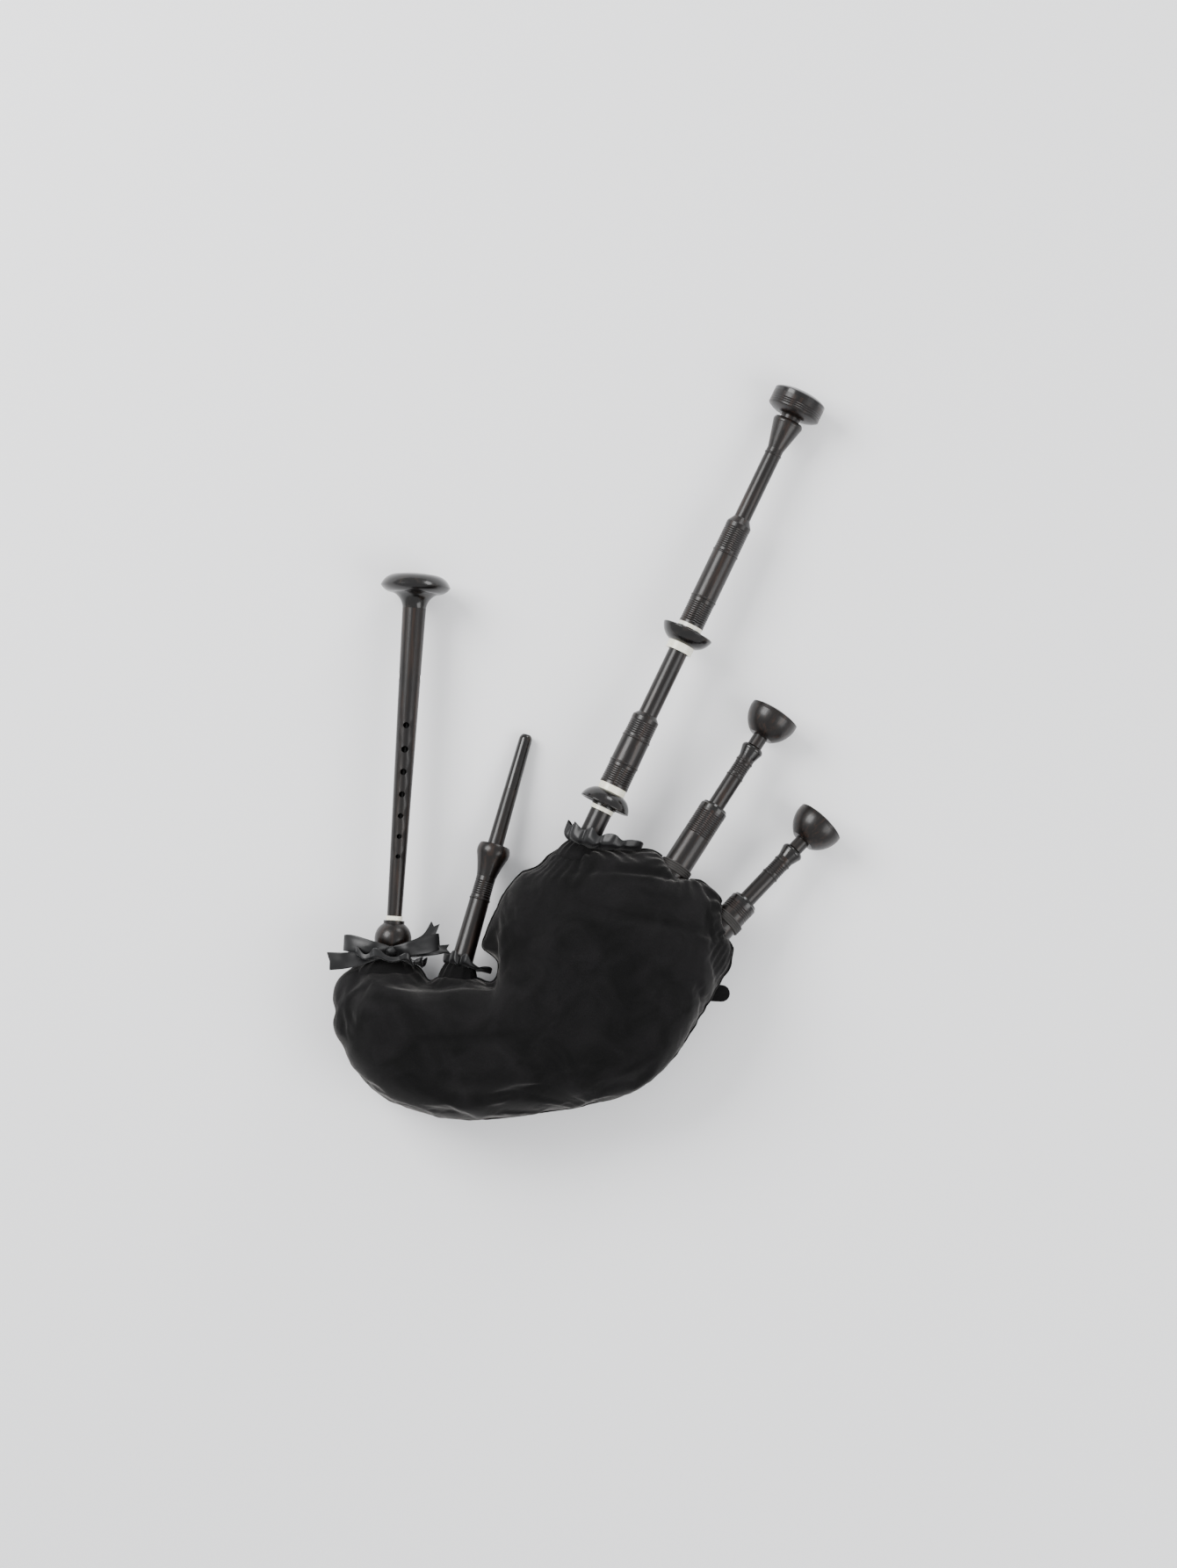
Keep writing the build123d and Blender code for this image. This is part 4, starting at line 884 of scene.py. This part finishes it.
def lay_cloth(piece, pipe, thickness, flat):
    """Turn a cloth modelled round Z to its pipe, give it thickness, and compare it with its cut."""
    area = sum(face.area for face in piece.data.polygons)
    piece.data.transform(FRAMES[pipe])
    wall = piece.modifiers.new("cloth thickness", "SOLIDIFY")
    wall.thickness, wall.offset = thickness, 0
    finer = piece.modifiers.new("finer", "SUBSURF")
    finer.levels = finer.render_levels = 1
    apply_modifiers(piece)
    for vertex in piece.data.vertices:
        vertex.co.z = max(vertex.co.z, DROOP)
    cut = flat[0] * flat[1]
    print(piece.name, "has", round(area * 1e4, 1), "square cm of cloth; cut", round(cut * 1e4, 1))


def cloth_ring(name, pipe, steps, place, flat):
    """A tube of cloth round a pipe. place(angle, share) is where each point goes, in millimetres."""
    deselect()
    bpy.ops.mesh.primitive_circle_add(vertices=steps, radius=RING_R)
    piece = bpy.context.object
    piece.name = name
    bpy.ops.object.mode_set(mode="EDIT")
    bpy.ops.mesh.select_all(action="SELECT")
    for _ in range(ROWS):
        bpy.ops.mesh.extrude_edges_move(TRANSFORM_OT_translate={"value": (0, 0, ROW_STEP)})
    bpy.ops.object.mode_set(mode="OBJECT")
    layer = piece.data.uv_layers.new(name="UVMap")
    places = [(math.atan2(v.co.y, v.co.x), v.co.z / (ROWS * ROW_STEP)) for v in piece.data.vertices]
    for vertex, (angle, share) in zip(piece.data.vertices, places):
        vertex.co = place(angle, share) * MM
    for loop in piece.data.loops:
        angle, share = places[loop.vertex_index]
        layer.data[loop.index].uv = ((angle / math.tau + 0.5) * flat[1], share * flat[0])
    lay_cloth(piece, pipe, FRILL_THICKNESS, flat)
    return piece


# %% [markdown]
# The three frills differ in fullness and in how they lie. Those of the bass and the blowpipe stand forward
# on their right sides, clear of the bag, and the chanter's hangs round its stock.

# %% Frills
STEPS_PER_PLEAT = 16


def frill(name, pipe, inner, outer, low, high, pleats, stand, flat):
    def place(angle, share):
        return frill_point(angle, share, inner, outer, low, high, pleats, stand)

    piece = cloth_ring(name, pipe, pleats * STEPS_PER_PLEAT, place, flat)
    settle(piece, pipe + "_stock", SATIN)
    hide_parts(pipe + "_frill")


frill(
    "bass_frill_satin", "bass", inner=12.2, outer=one_sided(24, 51), low=10.5, high=one_sided(26, 37),
    pleats=9, stand=1, flat=(0.030, 0.202),
)
frill(
    "chanter_frill_satin", "chanter", inner=13.2, outer=one_sided(42, 33), low=10.6, high=one_sided(17, 8),
    pleats=10, stand=0, flat=(0.030, 0.194),
)
frill(
    "blowpipe_frill_satin", "blowpipe", inner=12.0, outer=one_sided(17.5, 31), low=10.5,
    high=one_sided(21, 14), pleats=7, stand=1, flat=(0.020, 0.118),
)

# %% [markdown]
# The cover itself ends in a short sleeve at each of those three stocks. It leaves the bag wide and is
# gathered in to the cord, so no cord or bare wood shows between the bag and its frill. It is the same kind
# of tube as a frill, with narrow pleats and no free edge.

# %% Sleeves
SLEEVE_STEPS_PER_PLEAT = 12


def sleeve(name, pipe, inner, outer, low, high, pleats, flat):
    """The cover's own sleeve: wide where it comes out of the bag, gathered in to the stock at the tie."""
    def place(angle, share):
        taper = max(0, math.cos(share * math.pi / 2)) ** 0.8
        drift = 1.5 * noise.noise(Vector((math.cos(angle), math.sin(angle), pleats)) * 1.6)
        pleat = 1 - abs(math.cos(pleats * angle / 2 + drift))
        radius = inner + (outer(angle) - inner) * taper + (1.5 * pleat - 0.5) * (0.3 + share)
        height = low + (high - low) * share
        return Vector((radius * math.cos(angle), radius * math.sin(angle), height))

    piece = cloth_ring(name, pipe, pleats * SLEEVE_STEPS_PER_PLEAT, place, flat)
    settle(piece, pipe + "_stock", VELVET)


sleeve(
    "bass_sleeve", "bass", inner=13.6, outer=one_sided(23, 40), low=-8, high=13, pleats=14,
    flat=(0.025, 0.166),
)
sleeve(
    "chanter_sleeve", "chanter", inner=14.6, outer=one_sided(38, 29), low=-10, high=12, pleats=14,
    flat=(0.029, 0.187),
)
sleeve(
    "blowpipe_sleeve", "blowpipe", inner=13.6, outer=one_sided(19, 22), low=-9, high=12, pleats=12,
    flat=(0.023, 0.113),
)

# %% [markdown]
# ## The ribbon bow
# A bow of satin ribbon is tied on the chanter's stock, under the ball: two loops, a tail to the left and a
# split one to the right. Cloth simulation would let a bow this small fall flat, so each is a flat grid
# whose rows are laid along a smooth path, given as points of its middle line with half its width there.

# %% A ribbon along a path
RIBBON_ACROSS, RIBBON_ALONG = 8, 44
RIPPLE = 0.7


def smooth_path(points, share):
    """A place on a Catmull-Rom curve through the points."""
    last = len(points) - 1
    at = min(last - 1e-6, share * last)
    i, t = int(at), at - int(at)
    p0, p1 = points[max(0, i - 1)], points[i]
    p2, p3 = points[i + 1], points[min(last, i + 2)]
    curve = 2 * p1 + (p2 - p0) * t + (2 * p0 - 5 * p1 + 4 * p2 - p3) * t * t
    return (curve + (3 * p1 - p0 - 3 * p2 + p3) * t ** 3) / 2


def ribbon(name, pipe, path, flat, fork=0.0):
    """A ribbon laid along a path of (middle, half-width) pairs of vectors, in millimetres in the pipe's
    frame. fork is how deep the notch at its end is, as a share of its length."""
    middles, sides = [Vector(p[0]) for p in path], [Vector(p[1]) for p in path]
    deselect()
    bpy.ops.mesh.primitive_grid_add(x_subdivisions=RIBBON_ACROSS, y_subdivisions=RIBBON_ALONG, size=2)
    piece = bpy.context.object
    piece.name = name
    for vertex in piece.data.vertices:
        side, share = vertex.co.x, (vertex.co.y + 1) / 2
        reach = share * (1 - fork * (1 - abs(side))) if fork else share
        ripple = Vector((0, RIPPLE * math.sin(9 * share + 2 * side), 0))
        vertex.co = (smooth_path(middles, reach) + smooth_path(sides, reach) * side + ripple) * MM
    for point in piece.data.uv_layers[0].data:
        point.uv = (point.uv[1] * flat[1], point.uv[0] * flat[0])
    lay_cloth(piece, pipe, RIBBON_THICKNESS, flat)
    settle(piece, pipe + "_stock", SATIN)


# %% [markdown]
# The loops leave the knot, turn round at their far ends and come back under themselves. The tails are cut
# with a shallow notch, which keeps satin from fraying.

# %% The bow's loops and tails
ribbon("bow_loop_left", "chanter", [
    ((2, 21, 18), (0, 1, 5)), ((18, 27, 20), (0, 0, 7)), ((38, 22, 23), (0, 0, 8.5)),
    ((48, 13, 23), (0, 0, 8)), ((40, 6, 22), (0, 0, 8)), ((22, 12, 20), (0, 0, 7)),
    ((5, 19, 18), (0, 1, 5)),
], flat=(0.014, 0.107))
ribbon("bow_loop_right", "chanter", [
    ((-2, 21, 18), (0, 1, 5)), ((-17, 27, 21), (0, 0, 7)), ((-36, 22, 27), (1, 0, 9)),
    ((-47, 13, 30), (1, 0, 8)), ((-38, 6, 28), (1, 0, 9)), ((-20, 12, 22), (0, 0, 7)),
    ((-5, 19, 18), (0, 1, 5)),
], flat=(0.014, 0.107))
ribbon("bow_tail_left", "chanter", [
    ((2, 20, 16), (0, 1, 4)), ((22, 22, 11), (1, 0, 6)), ((44, 26, 6), (2, 0, 8)), ((62, 19, 4), (2, 0, 9)),
], flat=(0.014, 0.063), fork=0.05)
ribbon("bow_tail_right", "chanter", [
    ((-2, 20, 19), (0, 1, 4)), ((-18, 24, 24), (3, 0, 4)), ((-34, 20, 32), (4, 0, 4)),
    ((-42, 14, 49), (4.5, 0, 1)),
], flat=(0.010, 0.054), fork=0.10)
ribbon("bow_tail_end", "chanter", [
    ((-2, 19, 16), (0, 1, 4)), ((-22, 20, 18), (0, 0, 5)), ((-42, 16, 21), (0, 0, 5)),
    ((-57, 10, 24), (0, 0, 4)),
], flat=(0.010, 0.055), fork=0.08)

# %% [markdown]
# The knot is a ribbon pulled tight round the middle of the bow. At this size only its plump outline and a
# few creases show, so it is a ball that is flattened and creased along its length.

# %% The knot
KNOT_RADII, KNOT_PLACE = (5.5, 4, 5.5), (0, 21.5, 17.5)
CREASES, CREASE_DEPTH = 5, 0.12
deselect()
bpy.ops.mesh.primitive_uv_sphere_add(segments=32, ring_count=20, radius=1)
knot = bpy.context.object
knot.name = "bow_knot"
for vertex in knot.data.vertices:
    pinch = 1 + CREASE_DEPTH * math.sin(CREASES * math.atan2(vertex.co.z, vertex.co.y))
    size = (KNOT_RADII[0] * pinch, KNOT_RADII[1], KNOT_RADII[2])
    places = [middle + way * radius for middle, way, radius in zip(KNOT_PLACE, vertex.co, size)]
    vertex.co = Vector(places) * MM
knot.data.transform(FRAMES["chanter"])
settle(knot, "chanter_stock", SATIN)

# %% [markdown]
# ## The tab beside the hind stock
# The cover's opening is drawn shut by a tab that is sewn into the seam and lies out from it: a strap of the
# same velvet with a round end. A disc is filled, its inner half is drawn back into the seam, and it is
# thickened and its edge rounded.

# %% Cover tab
TAB_R, TAB_LENGTH, TAB_THICKNESS, TAB_EDGE = 8.4 * MM, 26 * MM, 3.0 * MM, 1.2 * MM
TAB_PLACE, TAB_TURN = Vector((0.1585, -0.0092, 0.0545)), -3
deselect()
bpy.ops.mesh.primitive_circle_add(vertices=48, radius=TAB_R, fill_type="NGON")
tab = bpy.context.object
tab.name = "cover_tab"
choose(tab, lambda point: point.x < -1e-5)
bpy.ops.transform.translate(value=(-TAB_LENGTH, 0, 0))
bpy.ops.object.mode_set(mode="OBJECT")
tab.data.transform(Matrix.Translation(TAB_PLACE) @ Matrix.Rotation(math.radians(TAB_TURN), 4, "Z"))
wall = tab.modifiers.new("thickness", "SOLIDIFY")
wall.thickness, wall.offset = TAB_THICKNESS, 0
rounding = tab.modifiers.new("rounded edge", "BEVEL")
rounding.width, rounding.segments, rounding.limit_method = TAB_EDGE, 3, "ANGLE"
apply_modifiers(tab)
settle(tab, "bag", VELVET)
